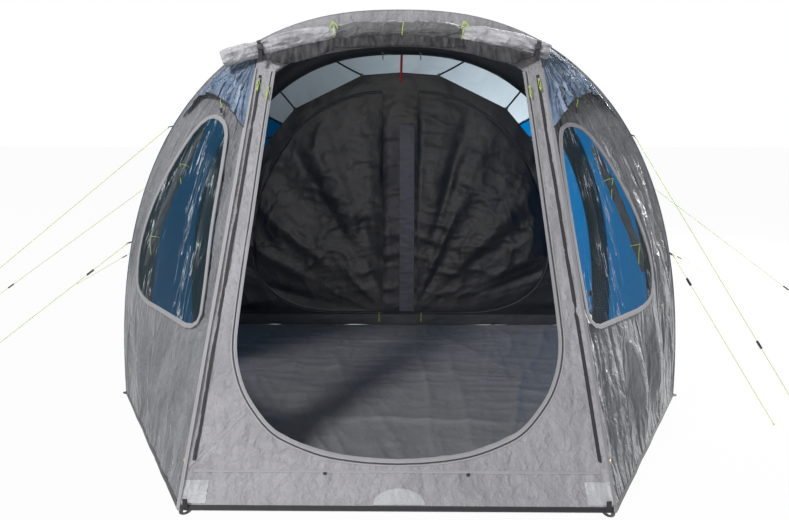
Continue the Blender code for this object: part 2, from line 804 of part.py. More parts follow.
REAR_COLUMN_COUNT = 6
REAR_ROW_COUNT = 7


def grid_piece(whole, across, up, place):
    """Adds a grid whose points go to place(share across, share up)."""
    grid = bmesh.new()
    bmesh.ops.create_grid(grid, x_segments=across, y_segments=up, size=1)
    for vert in grid.verts:
        vert.co = place((vert.co.x + 1) / 2, (vert.co.y + 1) / 2)
    mesh = bpy.data.meshes.new("piece")
    grid.to_mesh(mesh)
    grid.free()
    whole.from_mesh(mesh)
    bpy.data.meshes.remove(mesh)


def build_rear():
    """The rear wall: the middle panel, its header and both sides, sewn as one cloth."""
    whole = bmesh.new()
    for side in (-1, 1):

        def side_place(run, up, side=side):
            across = run if side < 0 else 1 - run
            share = max(up, HEM_SHARE)
            return REAR.side_point(min(across, REAR.side_end(share, side)), share, side)

        grid_piece(whole, REAR_COLUMN_COUNT, REAR_ROW_COUNT, side_place)

    def panel_place(run, up):
        return REAR.panel_grid_point(1 - 2 * run, up)

    grid_piece(whole, REAR_COLUMN_COUNT, REAR_ROW_COUNT, panel_place)

    def header_place(run, up):
        share = 1 - 2 * run
        return REAR.header_point(share, min(up, REAR.header_end(share)))

    grid_piece(whole, REAR_COLUMN_COUNT, REAR_COLUMN_COUNT, header_place)
    bmesh.ops.remove_doubles(whole, verts=whole.verts, dist=SEAM_GAP)
    bmesh.ops.recalc_face_normals(whole, faces=whole.faces)
    outer = max(whole.faces, key=lambda face: face.calc_center_median().y)
    if outer.normal.y < 0:
        bmesh.ops.reverse_faces(whole, faces=whole.faces)
    wall = thicken(object_from(whole, "rear_wall", grey_cloth()), FLY_THICKNESS, -1)
    for side in (-1, 1):
        place = (side * (REAR_BASE_HALF_WIDTH - CORNER_LOOP_INSET), REAR_Y + LOOP_RADIUS - LOOP_WEB / 2)
        join(wall, peg_loop(f"loop_rear_{side}", place))


# Hoods over the windows


def build_hoods():
    columns, rows = 12, 5
    rim_across = [across for across, _ in HOOD_RIM_SHARES]
    rim_up = [share for _, share in HOOD_RIM_SHARES]
    for side, hand in ((-1, "left"), (1, "right")):

        def place(column, row, side=side):
            run = column / columns if side > 0 else 1 - column / columns
            across = mix(HOOD_FIRST_SHARE, HOOD_LAST_SHARE, run)
            drop = 1 - row / rows
            share = mix(HOOD_TOP_SHARE, float(np.interp(run, rim_across, rim_up)), drop)
            stand = HOOD_LIFT + HOOD_RISE * (math.sin(math.pi * run) * drop) ** HOOD_FULLNESS_SHARE
            return PORCH.side_point(across, share, side) + stand * PORCH.side_normal(across, share, side)

        sheet(f"hood_{hand}", columns, rows, place, FLY_THICKNESS, blue_cloth(), side=1)


# Air beams with their valves


BEAM_FLAT_RADIUS = BEAM_RADIUS * math.cos(math.pi / BEAM_SIDES)


def beam_centre(part, share):
    point = beam_skin_arch(part).point(share, FLY_THICKNESS + GAP + BEAM_FLAT_RADIUS)
    return Vector((point.x, point.y, max(point.z, 0.0)))


def beam_point(part, share, turn, radius):
    """A point on a beam, on the straight run between two of its stations."""
    arch = beam_skin_arch(part)
    low = min(math.floor(share * ARCH_STATIONS), ARCH_STATIONS - 1)
    ends = []
    for station in (low, low + 1):
        at = station / ARCH_STATIONS
        way = math.cos(turn) * arch.outward(at) + math.sin(turn) * Y_AXIS
        end = beam_centre(part, at) + radius * way
        ends.append(Vector((end.x, end.y, max(end.z, 0.0))))
    return ends[0].lerp(ends[1], share * ARCH_STATIONS - low)


def beam_skin_arch(part):
    """The fly's outline where a beam lies against it."""
    return fly_section(BEAM_PLACES[part])


def valve_shares(part):
    """Where a beam's valve hole starts and ends along it."""
    arch = beam_skin_arch(part)
    return [arch.share_at(VALVE_HEIGHT + side * VALVE_HOLE_LENGTH / 2, 1) for side in (-1, 1)]


def build_beam(part):
    stations = sorted([step / ARCH_STATIONS for step in range(ARCH_STATIONS + 1)] + valve_shares(part))
    step = 2 * math.pi / BEAM_SIDES
    skin = bmesh.new()
    bmesh.ops.create_grid(skin, x_segments=BEAM_SIDES, y_segments=len(stations) - 1, size=1)
    for vert in skin.verts:
        side = round((vert.co.x + 1) * BEAM_SIDES / 2)
        row = round((vert.co.y + 1) * (len(stations) - 1) / 2)
        vert.co = beam_point(part, stations[row], step * (side % BEAM_SIDES + 1 / 2), BEAM_RADIUS)
    bmesh.ops.remove_doubles(skin, verts=skin.verts, dist=WELD)
    bmesh.ops.holes_fill(skin, edges=[edge for edge in skin.edges if edge.is_boundary], sides=0)
    bmesh.ops.recalc_face_normals(skin, faces=skin.faces)
    place, _ = valve_place(part)
    hole = min(skin.faces, key=lambda face: (face.calc_center_median() - place).length)
    bmesh.ops.delete(skin, geom=[hole], context="FACES_ONLY")
    beam = thicken(object_from(skin, f"beam_{part}", beam_sleeve()), BEAM_WALL, -1)
    build_valve(part, beam)


def valve_place(part):
    """The middle of a beam's valve hole, and the way it faces."""
    low, high = (beam_point(part, share, math.pi, BEAM_FLAT_RADIUS) for share in valve_shares(part))
    return (low + high) / 2, (high - low).cross(Y_AXIS).normalized()


def build_valve(part, beam):
    """A valve welded over the hole in a beam, with its screw cap."""
    place, out = valve_place(part)
    base = frame_at(place, out, Z_AXIS)
    top = VALVE_FLANGE_THICKNESS
    neck = top + VALVE_NECK_LENGTH
    profile = [
        (VALVE_BORE_RADIUS, neck), (VALVE_NECK_RADIUS, neck), (VALVE_NECK_RADIUS, top),
        (VALVE_FLANGE_RADIUS, top), (VALVE_FLANGE_RADIUS, -BEAM_WALL / 2),
        (VALVE_STUB_RADIUS, -BEAM_WALL / 2), (VALVE_STUB_RADIUS, -VALVE_STUB_LENGTH),
        (VALVE_BORE_RADIUS, -VALVE_STUB_LENGTH),
        (VALVE_BORE_RADIUS, neck),
    ]
    join(beam, turned(f"valve_{part}", profile, base, VALVE_SIDES, black_plastic(), cutter=True))
    inner = VALVE_NECK_RADIUS + CAP_GAP
    outer = inner + CAP_WALL
    cap_top = neck + CAP_GAP + CAP_WALL
    cap_profile = [
        (0, cap_top), (outer, cap_top), (outer, top + CAP_GAP), (inner, top + CAP_GAP),
        (inner, neck + CAP_GAP), (0, neck + CAP_GAP),
    ]
    upright_at(turned(f"valve_cap_{part}", cap_profile, base, VALVE_SIDES, black_plastic()), place)


# Rolled door above the doorway, with its straps and ties


def roll_centre(x):
    """The rolled door's middle line, hung just clear of the header."""
    half = FRONT_ARCH.half_width_at(PORCH_JOIN_HEIGHT)
    stand = ROLL_RADIUS + ROLL_STAND

    def hung(at):
        share = at / half
        normal = PORCH.header_normal(share, ROLL_HANG_SHARE)
        return PORCH.header_point(share, ROLL_HANG_SHARE) + stand * normal

    inside = max(-ROLL_BEND, min(ROLL_BEND, x))
    point = hung(inside)
    if inside == x:
        return point
    side = math.copysign(1, x)
    step = ROLL_RADIUS
    slope = (hung(side * ROLL_BEND) - hung(side * (ROLL_BEND - step))) / step
    return point + slope * abs(x - inside)


def roll_point(x, turn, radius):
    step = ROLL_RADIUS / 4
    along = (roll_centre(x + step) - roll_centre(x - step)).normalized()
    front = (PORCH.normal - PORCH.normal.dot(along) * along).normalized()
    up = along.cross(front)
    return roll_centre(x) + radius * (math.cos(turn) * front + math.sin(turn) * up)


def roll_stations():
    """Places along the roll, each with the share of the full bulge there."""
    bound = sorted([-STRAP_PLACE, -TIE_PLACE, 0.0, TIE_PLACE, STRAP_PLACE])
    places = [(ROLL_LEFT, 0.8)]
    for index, x in enumerate(bound):
        places += [(x - STRAP_WIDTH, 0.0), (x + STRAP_WIDTH, 0.0)]
        if index < len(bound) - 1:
            places.append((mix(x, bound[index + 1], 1 / 2), 1.0))
    return places + [(ROLL_RIGHT, 0.5)]


def build_roll():
    """The rolled door, pinched where it is tied, and the two straps that hold it."""
    stations = roll_stations()

    def place(column, row):
        x, bulge = stations[row]
        turn = 2 * math.pi * (column % ROLL_SIDES) / ROLL_SIDES
        facing = max(0.0, math.cos(turn)) ** ROLL_BULGE_POWER_SHARE
        pucker = 1 + ROLL_PUCKER_SHARE * math.sin(ROLL_PUCKER_COUNT * turn + 2 * row)
        return roll_point(x, turn, ROLL_RADIUS + ROLL_BULGE * bulge * facing * pucker)

    sheet("door_roll", ROLL_SIDES, len(stations) - 1, place, ROLL_WALL, grey_cloth())
    for hand, x in (("left", -STRAP_PLACE), ("right", STRAP_PLACE)):

        def strap_place(column, row, x=x):
            turn = 2 * math.pi * (column % ROLL_SIDES) / ROLL_SIDES
            return roll_point(x + STRAP_WIDTH * (row - 1 / 2), turn, ROLL_RADIUS + GAP)

        sheet(f"roll_strap_{hand}", ROLL_SIDES, 1, strap_place, STRAP_THICKNESS, webbing(), side=1)


# Porch zips with sliders and pulls


def side_zip_point(z, side, lift):
    low_x, low_z = SIDE_ZIP_LOW
    high_x, high_z = SIDE_ZIP_HIGH
    x = mix(low_x, high_x, (z - low_z) / (high_z - low_z))
    return PORCH.panel_point(side * x, z, lift)


def doorway_zip_points(lift):
    """The doorway's zip, a little outside its edge, from the left top round to the right top."""
    right = [(share * DOORWAY_HALF_WIDTH, z * PORCH_TOP_HEIGHT) for share, z in DOORWAY_SHARES]
    grown = []
    for index, (x, z) in enumerate(right):
        before = right[index - 1] if index else (-right[1][0], right[1][1])
        after = right[min(index + 1, len(right) - 1)]
        along = Vector((after[0] - before[0], after[1] - before[1])).normalized()
        grown.append((x + along.y * ZIP_BAND, z - along.x * ZIP_BAND))
    whole = [(-x, z) for x, z in reversed(grown) if x > 0] + grown
    return [PORCH.panel_point(x, z, lift) for x, z in whole]


def build_slider(place, hand, centre, along, hang, normal, lift):
    """A slider over its zip, with the cord pull that hangs from it against the direction hang."""
    frame = frame_at(centre + normal * (SLIDER_HEIGHT / 2 - lift + GAP), normal, along)
    name = f"{place}_slider_{hand}"
    size = (SLIDER_WIDTH, SLIDER_LENGTH, SLIDER_HEIGHT)
    body = block(name, size, frame, bright_metal(), bevel=ZIP_RADIUS / 2)
    start, end = centre - along * SLIDER_LENGTH, centre + along * SLIDER_LENGTH
    cut(body, rod(name + "_slot", start, end, ZIP_RADIUS + SLIDER_SLOT, 12, webbing(), cutter=True))
    pivot = centre + normal * (SLIDER_HEIGHT - lift + 2 * GAP + PULL_RADIUS)
    profile = [
        (0, PULL_RADIUS), (PULL_RADIUS, PULL_RADIUS / 2), (PULL_RADIUS, 2 * PULL_KNOT_RADIUS - PULL_LENGTH),
        (PULL_KNOT_RADIUS, PULL_KNOT_RADIUS - PULL_LENGTH),
        (PULL_KNOT_RADIUS, PULL_KNOT_RADIUS / 2 - PULL_LENGTH), (0, -PULL_LENGTH),
    ]
    pull = turned(f"{place}_pull_{hand}", profile, frame_at(pivot, hang, normal), 8, neon_cord())
    upright_at(pull, pivot)


def joined_tube(obj, name, points, resolution):
    """Sews a zip along these points to a cloth."""
    zip_line = tube(name, points, ZIP_RADIUS, resolution, webbing(), cutter=True)
    join(obj, object_from(solid_mesh(zip_line), name, webbing(), cutter=True))


def build_porch_zips(panel):
    """The side zips and the doorway's zip, sewn to the panel, with their sliders."""
    for side, hand in ((-1, "left"), (1, "right")):
        low, high = SIDE_ZIP_LOW[1], SIDE_ZIP_HIGH[1]
        start, end = side_zip_point(low, side, ZIP_LIFT), side_zip_point(high, side, ZIP_LIFT)
        joined_tube(panel, f"side_zip_{hand}", [start, end], 1)
        along = (end - start).normalized()
        centre = side_zip_point(SIDE_SLIDER_HEIGHT, side, ZIP_LIFT)
        build_slider("side", hand, centre, along, along, PORCH.normal, ZIP_LIFT)
    points = doorway_zip_points(ZIP_LIFT)
    joined_tube(panel, "doorway_zip", points, 1)
    for hand, top, under in (("left", 0, 1), ("right", -1, -2)):
        along = (points[top] - points[under]).normalized()
        share = (DOOR_SLIDER_HEIGHT - points[top].z) / (points[under].z - points[top].z)
        centre = points[top].lerp(points[under], share)
        build_slider("door", hand, centre, along, along, PORCH.normal, ZIP_LIFT)


# Vent cowls


def build_vents():
    """Rain cowls low on the side walls, sewn along their tops and open below."""
    columns, rows = 6, 4
    for side, hand in ((-1, "left"), (1, "right")):

        def place(column, row, side=side):
            run = column / columns if side > 0 else 1 - column / columns
            y = FRONT_ARCH_Y + COWL_NEAR + COWL_WIDTH * run
            z = mix(COWL_LOW, COWL_HIGH, row / rows)
            stand = COWL_RISE * ((1 - row / rows) * math.sin(math.pi * run)) ** COWL_FULLNESS_SHARE
            return Vector((side * (fly_section(y).half_width_at(z) + COWL_LIFT + stand), y, z))

        sheet(f"vent_{hand}", columns, rows, place, FLY_THICKNESS, blue_cloth(), side=1)


# Bedroom


def inner_sections():
    """The bedroom's outlines from its front wall to its back hem."""
    straight_end = INNER_BACK_Y - INNER_REAR_SETBACK - INNER_REAR_SLOPE
    places = [INNER_FRONT_Y + INNER_THICKNESS + GAP]
    places += [mix(INNER_FRONT_Y, straight_end, share) for share in INNER_ROOF_SHARES]
    sections = []
    for y in places:
        share = clamp((y - INNER_FRONT_Y) / (straight_end - INNER_FRONT_Y))
        sections.append(Arch(INNER_HALF_WIDTH, mix(INNER_HEIGHT, INNER_REAR_HEIGHT, share), y))
    for share in INNER_REAR_SHARES:
        y = straight_end + INNER_REAR_SLOPE * share
        sections.append(Arch(INNER_HALF_WIDTH, mix(INNER_REAR_HEIGHT, TUB_HEIGHT, share), y))
    return sections


def inner_point(section, share):
    """A point of the bedroom's outline above the tub."""
    low = section.share_at(TUB_HEIGHT + GAP, 1)
    return section.point(mix(low, 1 - low, share))


def inner_front_section():
    return inner_sections()[0]


def build_bedroom():
    sections = inner_sections()
    rows = len(sections)

    def place(column, row):
        share = 1 - column / INNER_STATIONS
        if row < rows:
            return inner_point(sections[row], share)
        x = inner_point(sections[-1], share).x
        return Vector((x, INNER_BACK_Y - INNER_REAR_SETBACK, TUB_HEIGHT + 3 * INNER_THICKNESS))

    tent = sheet("inner_tent", INNER_STATIONS, rows, place, INNER_THICKNESS, black_cloth())
    build_hangers(tent)
    build_tub()
    build_inner_wall()


def build_tub():
    """The bedroom's floor, with low walls all round, open at the top."""
    inset = INNER_THICKNESS / 2
    width = 2 * (INNER_HALF_WIDTH - inset)
    tub = bmesh.new()
    bmesh.ops.create_cube(tub, size=1)
    bmesh.ops.delete(tub, geom=[face for face in tub.faces if face.normal.z > 0.5], context="FACES_ONLY")
    length = INNER_BACK_Y - INNER_REAR_SETBACK - INNER_FRONT_Y
    bmesh.ops.scale(tub, vec=Vector((width, length, TUB_HEIGHT)), verts=tub.verts)
    middle = Vector((0, INNER_FRONT_Y + length / 2, TUB_HEIGHT / 2))
    bmesh.ops.translate(tub, vec=middle, verts=tub.verts)
    thicken(object_from(tub, "inner_floor", ground_cloth()), TUB_THICKNESS, -1)


def door_top(share, trim=0.0):
    return DOOR_MIDDLE + (DOOR_RISE - trim) * math.sqrt(max(0.0, 1 - share ** 2))


def door_bottom(share, trim=0.0):
    """The lower edge of a door: flat beside the hinge, then a round corner."""
    turn = clamp((share - DOOR_FLAT_SHARE) / (1 - DOOR_FLAT_SHARE))
    return DOOR_MIDDLE - (DOOR_DROP - trim) * (1 - turn ** DOOR_POWER_SHARE) ** (1 / DOOR_POWER_SHARE)


def door_shares():
    """Places across a door, closer together towards its outer edge."""
    return [math.sin(math.pi / 2 * step / DOOR_COLUMN_COUNT) for step in range(DOOR_COLUMN_COUNT + 1)]


def door_outline(side, grow=0.0):
    shares = door_shares()
    width = DOOR_WIDTH + grow
    top = [(side * (DOOR_HINGE + width * share), door_top(share, -grow)) for share in shares]
    low = [(side * (DOOR_HINGE + width * share), door_bottom(share, -grow)) for share in shares[:-1]]
    return top + low[::-1]


def build_inner_wall():
    """The bedroom's front wall, with a doorway on each side of its middle strip."""
    section = inner_front_section()
    steps = [step / INNER_STATIONS for step in range(INNER_STATIONS + 1)]
    outline = [(inner_point(section, share).x, inner_point(section, share).z) for share in steps]
    frame = upright_frame(INNER_FRONT_Y + INNER_THICKNESS / 2)
    wall = plate("inner_front_wall", outline, INNER_THICKNESS, frame, black_cloth())
    for side, hand in ((-1, "left"), (1, "right")):
        hole = plate(f"door_hole_{hand}", door_outline(side), OVERRUN, frame, webbing(), cutter=True)
        cut(wall, hole)
        build_inner_door(side, hand)
        outline = door_outline(side, DOOR_ZIP_MARGIN)
        track = [Vector((x, INNER_FRONT_Y - ZIP_LIFT, z)) for x, z in outline]
        joined_tube(wall, f"inner_zip_{hand}", track, 0)
        centre = Vector((side * INNER_SLIDER_PLACE, INNER_FRONT_Y - ZIP_LIFT, track[-1].z))
        build_slider("inner", hand, centre, X_AXIS, Z_AXIS, -Y_AXIS, ZIP_LIFT)


def build_inner_door(side, hand):
    """A zipped door that swings on the seam by the middle strip, hanging in soft upright folds."""
    shares = door_shares()
    width = DOOR_WIDTH - 2 * DOOR_GAP

    def place(column, row):
        share = shares[column]
        top, low = door_top(share, DOOR_GAP), door_bottom(share, DOOR_GAP)
        height = row / DOOR_ROW_COUNT
        rim = (math.sin(math.pi * height) * math.sin(math.pi * clamp(share))) ** DOOR_FOLD_RIM_SHARE
        fold = math.sin(2 * math.pi * (DOOR_FOLD_COUNT * share + DOOR_FOLD_SLANT_SHARE * height))
        fold += DOOR_SMALL_FOLD_SHARE * math.sin(2 * math.pi * DOOR_SMALL_FOLD_COUNT * share)
        y = INNER_FRONT_Y + DOOR_FOLD * rim * fold
        return Vector((side * (DOOR_HINGE + DOOR_GAP + width * share), y, mix(low, top, height)))

    facing = (lambda i, j: place(i, j)) if side > 0 else (lambda i, j: place(DOOR_COLUMN_COUNT - i, j))
    name = f"inner_door_{hand}"
    leaf = sheet(name, DOOR_COLUMN_COUNT, DOOR_ROW_COUNT, facing, INNER_THICKNESS, black_cloth())
    hinge = Vector((side * DOOR_HINGE, INNER_FRONT_Y, DOOR_MIDDLE))
    leaf.data.transform(Matrix.Translation(-hinge))
    leaf.location = hinge


def build_hangers(tent):
    """Elastic straps from the middle beam, sewn to the bedroom's front edge."""
    arch = beam_skin_arch("middle")
    section = inner_front_section()
    turn = HANGER_FACET * 2 * math.pi / BEAM_SIDES
    for side in (-1, 1):
        for beam_station, inner_station in HANGER_STATIONS:
            beam_share = beam_station / ARCH_STATIONS
            inner_share = inner_station / INNER_STATIONS
            if side < 0:
                beam_share, inner_share = 1 - beam_share, 1 - inner_share
            way = math.cos(turn) * arch.outward(beam_share) + math.sin(turn) * Y_AXIS
            start = beam_centre("middle", beam_share) + (BEAM_FLAT_RADIUS + GAP) * way
            low = section.share_at(TUB_HEIGHT + GAP, 1)
            normal = section.outward(mix(low, 1 - low, inner_share))
            end = inner_point(section, inner_share) + (2 * Y_AXIS - normal) * HANGER_RADIUS
            points = [start, start + way * 2 * HANGER_RADIUS, end + normal * 3 * HANGER_RADIUS, end]
            name = f"hanger_{side}_{beam_station}"
            strap = tube(name, points, HANGER_RADIUS, 0, webbing(), cutter=True)
            join(tent, object_from(solid_mesh(strap), name, webbing(), cutter=True))


# Groundsheet and guy lines


def build_groundsheet():
    """The living room's floor, from just inside the porch to the bedroom."""
    half = ARCH_HALF_WIDTH - SHEET_MARGIN
    front_half = PORCH_BASE_HALF_WIDTH - SHEET_PORCH_MARGIN
    front, back = FRONT_Y + SHEET_PORCH_MARGIN, INNER_FRONT_Y - GAP
    outline = [(-front_half, front), (front_half, front), (half, FRONT_ARCH_Y), (half, back), (-half, back),
               (-half, FRONT_ARCH_Y)]
    frame = Matrix.Translation((0, 0, GROUNDSHEET_THICKNESS / 2))
    plate("living_groundsheet", outline, GROUNDSHEET_THICKNESS, frame, ground_cloth())


def guy_places(arch_name, side, height, ground):
    """A guy line's tab, from its seam on the fly to its tip, and the line, from the tip to the ground."""
    arch = ARCHES[arch_name]
    share = arch.share_at(height, side)
    low = math.floor(share * ARCH_STATIONS) / ARCH_STATIONS
    first, last = arch.point(low), arch.point(low + 1 / ARCH_STATIONS)
    out = Y_AXIS.cross(last - first).normalized()
    inward = GUY_TAB_SETBACK if arch_name != "rear" else -GUY_TAB_SETBACK
    seam = first.lerp(last, (share - low) * ARCH_STATIONS) + Y_AXIS * inward
    end = Vector((*ground, GUY_KNOT_RADIUS))
    reach = (out + GUY_TAB_LEAN_SHARE * (end - seam).normalized()).normalized()
    tip = seam + reach * GUY_TAB_REACH
    way = (end - tip).normalized()
    start = tip + way * (GAP + GUY_RADIUS * reach.cross(way).length) / reach.dot(way)
    return seam, tip, start, end


def guy_tab(name, arch_name, side, height, ground):
    """A webbing tab sewn to the fly beside an arch, drawn out towards its guy line."""
    seam, tip, _, end = guy_places(arch_name, side, height, ground)
    flat = (tip - seam).cross(end - seam).cross(tip - seam)
    frame = frame_at(seam.lerp(tip, 1 / 2), flat, tip - seam)
    size = (GUY_TAB_WIDTH, GUY_TAB_REACH, GUY_TAB_THICKNESS)
    return block(name + "_tab", size, frame, webbing(), cutter=True)


def build_guy(name, arch_name, side, height, ground, runner_run):
    """A guy line from its tab on an arch to a knotted end at the ground, with its runner."""
    _, _, start, end = guy_places(arch_name, side, height, ground)
    run = (end - start).length
    way = (end - start).normalized()
    knot = run - 2 * GUY_KNOT_RADIUS
    profile = [
        (0, run), (GUY_KNOT_RADIUS, run - GUY_KNOT_RADIUS / 2),
        (GUY_KNOT_RADIUS, knot + GUY_KNOT_RADIUS / 2), (GUY_RADIUS, knot), (GUY_RADIUS, 0), (0, 0),
    ]
    turned(f"guy_line_{name}", profile, frame_at(start, way, side_of(way)), 6, neon_cord())
    centre = start + way * runner_run
    runner_frame = frame_at(centre, way.cross(side_of(way)), way)
    size = (RUNNER_WIDTH, RUNNER_LENGTH, RUNNER_HEIGHT)
    runner = block(f"runner_{name}", size, runner_frame, black_plastic(), bevel=RUNNER_HEIGHT / 4)
    ends = centre - way * RUNNER_LENGTH, centre + way * RUNNER_LENGTH
    cut(runner, rod(name + "_bore", *ends, GUY_RADIUS + RUNNER_BORE_GAP, 8, webbing(), cutter=True))


def main():
    clear_scene()
    build_bays()
    build_porch()
    build_rear()
    build_hoods()
    for part in ARCHES:
        build_beam(part)
    build_roll()
    build_vents()
    build_bedroom()
    build_groundsheet()
    for name, values in GUYS.items():
        build_guy(name, *values)


main()
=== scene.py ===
import json
import math

import bpy
import numpy as np
from mathutils import Matrix, Vector


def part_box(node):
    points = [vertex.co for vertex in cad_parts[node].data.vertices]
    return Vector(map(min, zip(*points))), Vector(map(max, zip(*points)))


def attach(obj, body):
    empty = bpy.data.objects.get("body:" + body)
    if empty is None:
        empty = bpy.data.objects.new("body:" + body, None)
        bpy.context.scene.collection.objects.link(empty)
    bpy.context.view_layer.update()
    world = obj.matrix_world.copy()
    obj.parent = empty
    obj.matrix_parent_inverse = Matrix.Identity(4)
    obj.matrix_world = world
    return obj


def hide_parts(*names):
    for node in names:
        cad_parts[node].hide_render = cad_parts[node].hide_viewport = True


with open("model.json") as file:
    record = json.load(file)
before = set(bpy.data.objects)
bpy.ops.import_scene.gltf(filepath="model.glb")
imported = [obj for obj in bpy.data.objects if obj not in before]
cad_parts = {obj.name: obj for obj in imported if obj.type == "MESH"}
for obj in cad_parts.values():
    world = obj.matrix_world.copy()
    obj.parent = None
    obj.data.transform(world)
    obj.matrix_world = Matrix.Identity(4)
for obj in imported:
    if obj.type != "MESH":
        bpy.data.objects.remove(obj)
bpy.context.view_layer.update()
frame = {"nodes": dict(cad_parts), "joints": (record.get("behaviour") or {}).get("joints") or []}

# The photograph is taken from in front of the porch at eye height, with the lens level with the roof
# and tipped a little down.
bpy.ops.object.select_all(action="DESELECT")
bpy.ops.object.camera_add(location=(0.027, -5.257, 1.505), rotation=(math.pi / 2 - 0.183, 0, 0.012))
camera = bpy.context.object
camera.name = "photo_camera"
camera.data.lens = 36.5
camera.data.sensor_width = 36
bpy.context.scene.camera = camera

# Guy lines of 3 mm braided cord run taut from webbing tabs on the arches to the ground, where each ends
# in a knot. They are sewn of polyester sheath over a core, in a bright yellow green.
X_AXIS = Vector((1, 0, 0))
Y_AXIS = Vector((0, 1, 0))
Z_AXIS = Vector((0, 0, 1))
GUY_THICKNESS = 0.003
GUY_LINES = {
    "front_upper_left": ((-1.1732, -1.1301, 1.4304), (-2.87, -1.555, 0.006), 2.256),
    "front_lower_left": ((-1.4214, -1.1323, 0.8286), (-2.46, -1.555, 0.006), 1.391),
    "middle_left": ((-1.2141, 0.2505, 1.3739), (-3.09, -0.145, 0.006), 2.355),
    "rear_left": ((-1.3067, 1.6943, 0.8930), (-2.87, 1.645, 0.006), 1.798),
    "front_upper_right": ((1.1974, -1.1331, 1.3839), (1.99, -1.555, 0.006), 1.645),
    "front_lower_right": ((1.4283, -1.1369, 0.7716), (1.83, -1.555, 0.006), 0.960),
    "middle_right": ((1.2142, 0.2520, 1.3736), (3.05, -0.005, 0.006), 2.304),
    "rear_right": ((1.3067, 1.6943, 0.8930), (2.87, 1.645, 0.006), 1.798),
}


class Value:
    """A number on a shader link, so that sums on it add the nodes they need."""

    def __init__(self, finish, socket):
        self.finish, self.socket = finish, socket

    def maths(self, operation, *others, turned=False):
        values = (*others, self) if turned else (self, *others)
        return self.finish.node("ShaderNodeMath", {"operation": operation}, dict(enumerate(values)))

    def __add__(self, other):
        return self.maths("ADD", other)

    def __radd__(self, other):
        return self.maths("ADD", other)

    def __sub__(self, other):
        return self.maths("SUBTRACT", other)

    def __rsub__(self, other):
        return self.maths("SUBTRACT", other, turned=True)

    def __mul__(self, other):
        return self.maths("MULTIPLY", other)

    def __rmul__(self, other):
        return self.maths("MULTIPLY", other)

    def __truediv__(self, other):
        return self.maths("DIVIDE", other)

    def __pow__(self, other):
        return self.maths("POWER", other)

    def __gt__(self, other):
        return self.maths("GREATER_THAN", other)

    def __lt__(self, other):
        return self.maths("LESS_THAN", other)


class Finish:
    """A material that is built from its Principled shader outwards."""

    def __init__(self, name, **constants):
        self.material = bpy.data.materials.new(name)
        self.material.use_nodes = True
        self.nodes = self.material.node_tree.nodes
        self.links = self.material.node_tree.links
        self.shader = self.nodes["Principled BSDF"]
        self.set(self.shader, constants)

    def set(self, node, sockets):
        for key, value in sockets.items():
            socket = node.inputs[key.replace("_", " ") if isinstance(key, str) else key]
            if isinstance(value, Value):
                self.links.new(value.socket, socket)
            elif isinstance(value, tuple) and len(value) == 3 and socket.type == "RGBA":
                socket.default_value = (*value, 1)
            else:
                socket.default_value = value

    def node(self, kind, settings, sockets, output=0):
        """Adds a node, sets it, fills its sockets and gives one of its outputs."""
        node = self.nodes.new(kind)
        for name, value in settings.items():
            if name == "stops":
                stops = node.color_ramp.elements
                while len(stops) < len(value):
                    stops.new(0.5)
                for stop, (place, shade) in zip(stops, value):
                    stop.position = place
                    stop.color = (*shade, 1) if isinstance(shade, tuple) else (shade, shade, shade, 1)
            else:
                setattr(node, name, value)
        self.set(node, sockets)
        return Value(self, node.outputs[output])

    def place(self, kind="Object"):
        return self.node("ShaderNodeTexCoord", {}, {}, kind)

    def scaled(self, place, scale, turn=(0.0, 0.0, 0.0)):
        return self.node("ShaderNodeMapping", {}, {"Vector": place, "Scale": scale, "Rotation": turn})

    def noise(self, place, scale, detail=2.0, roughness=0.5):
        sockets = {"Vector": place, "Scale": scale, "Detail": detail, "Roughness": roughness}
        return self.node("ShaderNodeTexNoise", {}, sockets)

    def ramp(self, value, stops):
        return self.node("ShaderNodeValToRGB", {"stops": stops}, {"Fac": value})

    def blend(self, share, low, high):
        settings = {"data_type": "RGBA"}
        node = self.nodes.new("ShaderNodeMix")
        for name, value in settings.items():
            setattr(node, name, value)
        for socket, value in ((0, share), (6, low), (7, high)):
            if isinstance(value, Value):
                self.links.new(value.socket, node.inputs[socket])
            else:
                node.inputs[socket].default_value = (*value, 1) if isinstance(value, tuple) else value
        return Value(self, node.outputs[2])

    def bump(self, height, distance, strength=1.0, under=None):
        sockets = {"Height": height, "Distance": distance, "Strength": strength}
        if under:
            sockets["Normal"] = under
        return self.node("ShaderNodeBump", {}, sockets)

    def ridge(self, noise, sharpness):
        """Thin lines where a noise crosses its middle."""
        return (1 - (noise - 0.5).maths("ABSOLUTE") * 2.0) ** sharpness

    def let_through(self, colour, share):
        """Mixes in the light that comes through a thin cloth from behind."""
        through = self.nodes.new("ShaderNodeBsdfTranslucent")
        through.inputs["Color"].default_value = (*colour, 1)
        mixed = self.nodes.new("ShaderNodeMixShader")
        mixed.inputs[0].default_value = share
        self.links.new(self.shader.outputs[0], mixed.inputs[1])
        self.links.new(through.outputs[0], mixed.inputs[2])
        self.links.new(mixed.outputs[0], self.nodes["Material Output"].inputs["Surface"])

    def finished(self, **sockets):
        self.set(self.shader, sockets)
        return self.material


def braided_cord(name, colour, shade):
    """Braided sheath: fine diagonal strands with a darker fleck between them."""
    finish = Finish(name, Roughness=0.62)
    place = finish.place()
    strands = finish.noise(finish.scaled(place, (900, 900, 500)), 1.0, 1.0)
    fleck = finish.noise(place, 260.0, 2.0)
    colour_link = finish.blend(finish.ramp(fleck, [(0.35, 0.0), (0.75, 1.0)]), colour, shade)
    return finish.finished(Base_Color=colour_link, Normal=finish.bump(strands, 0.0005, 0.6))


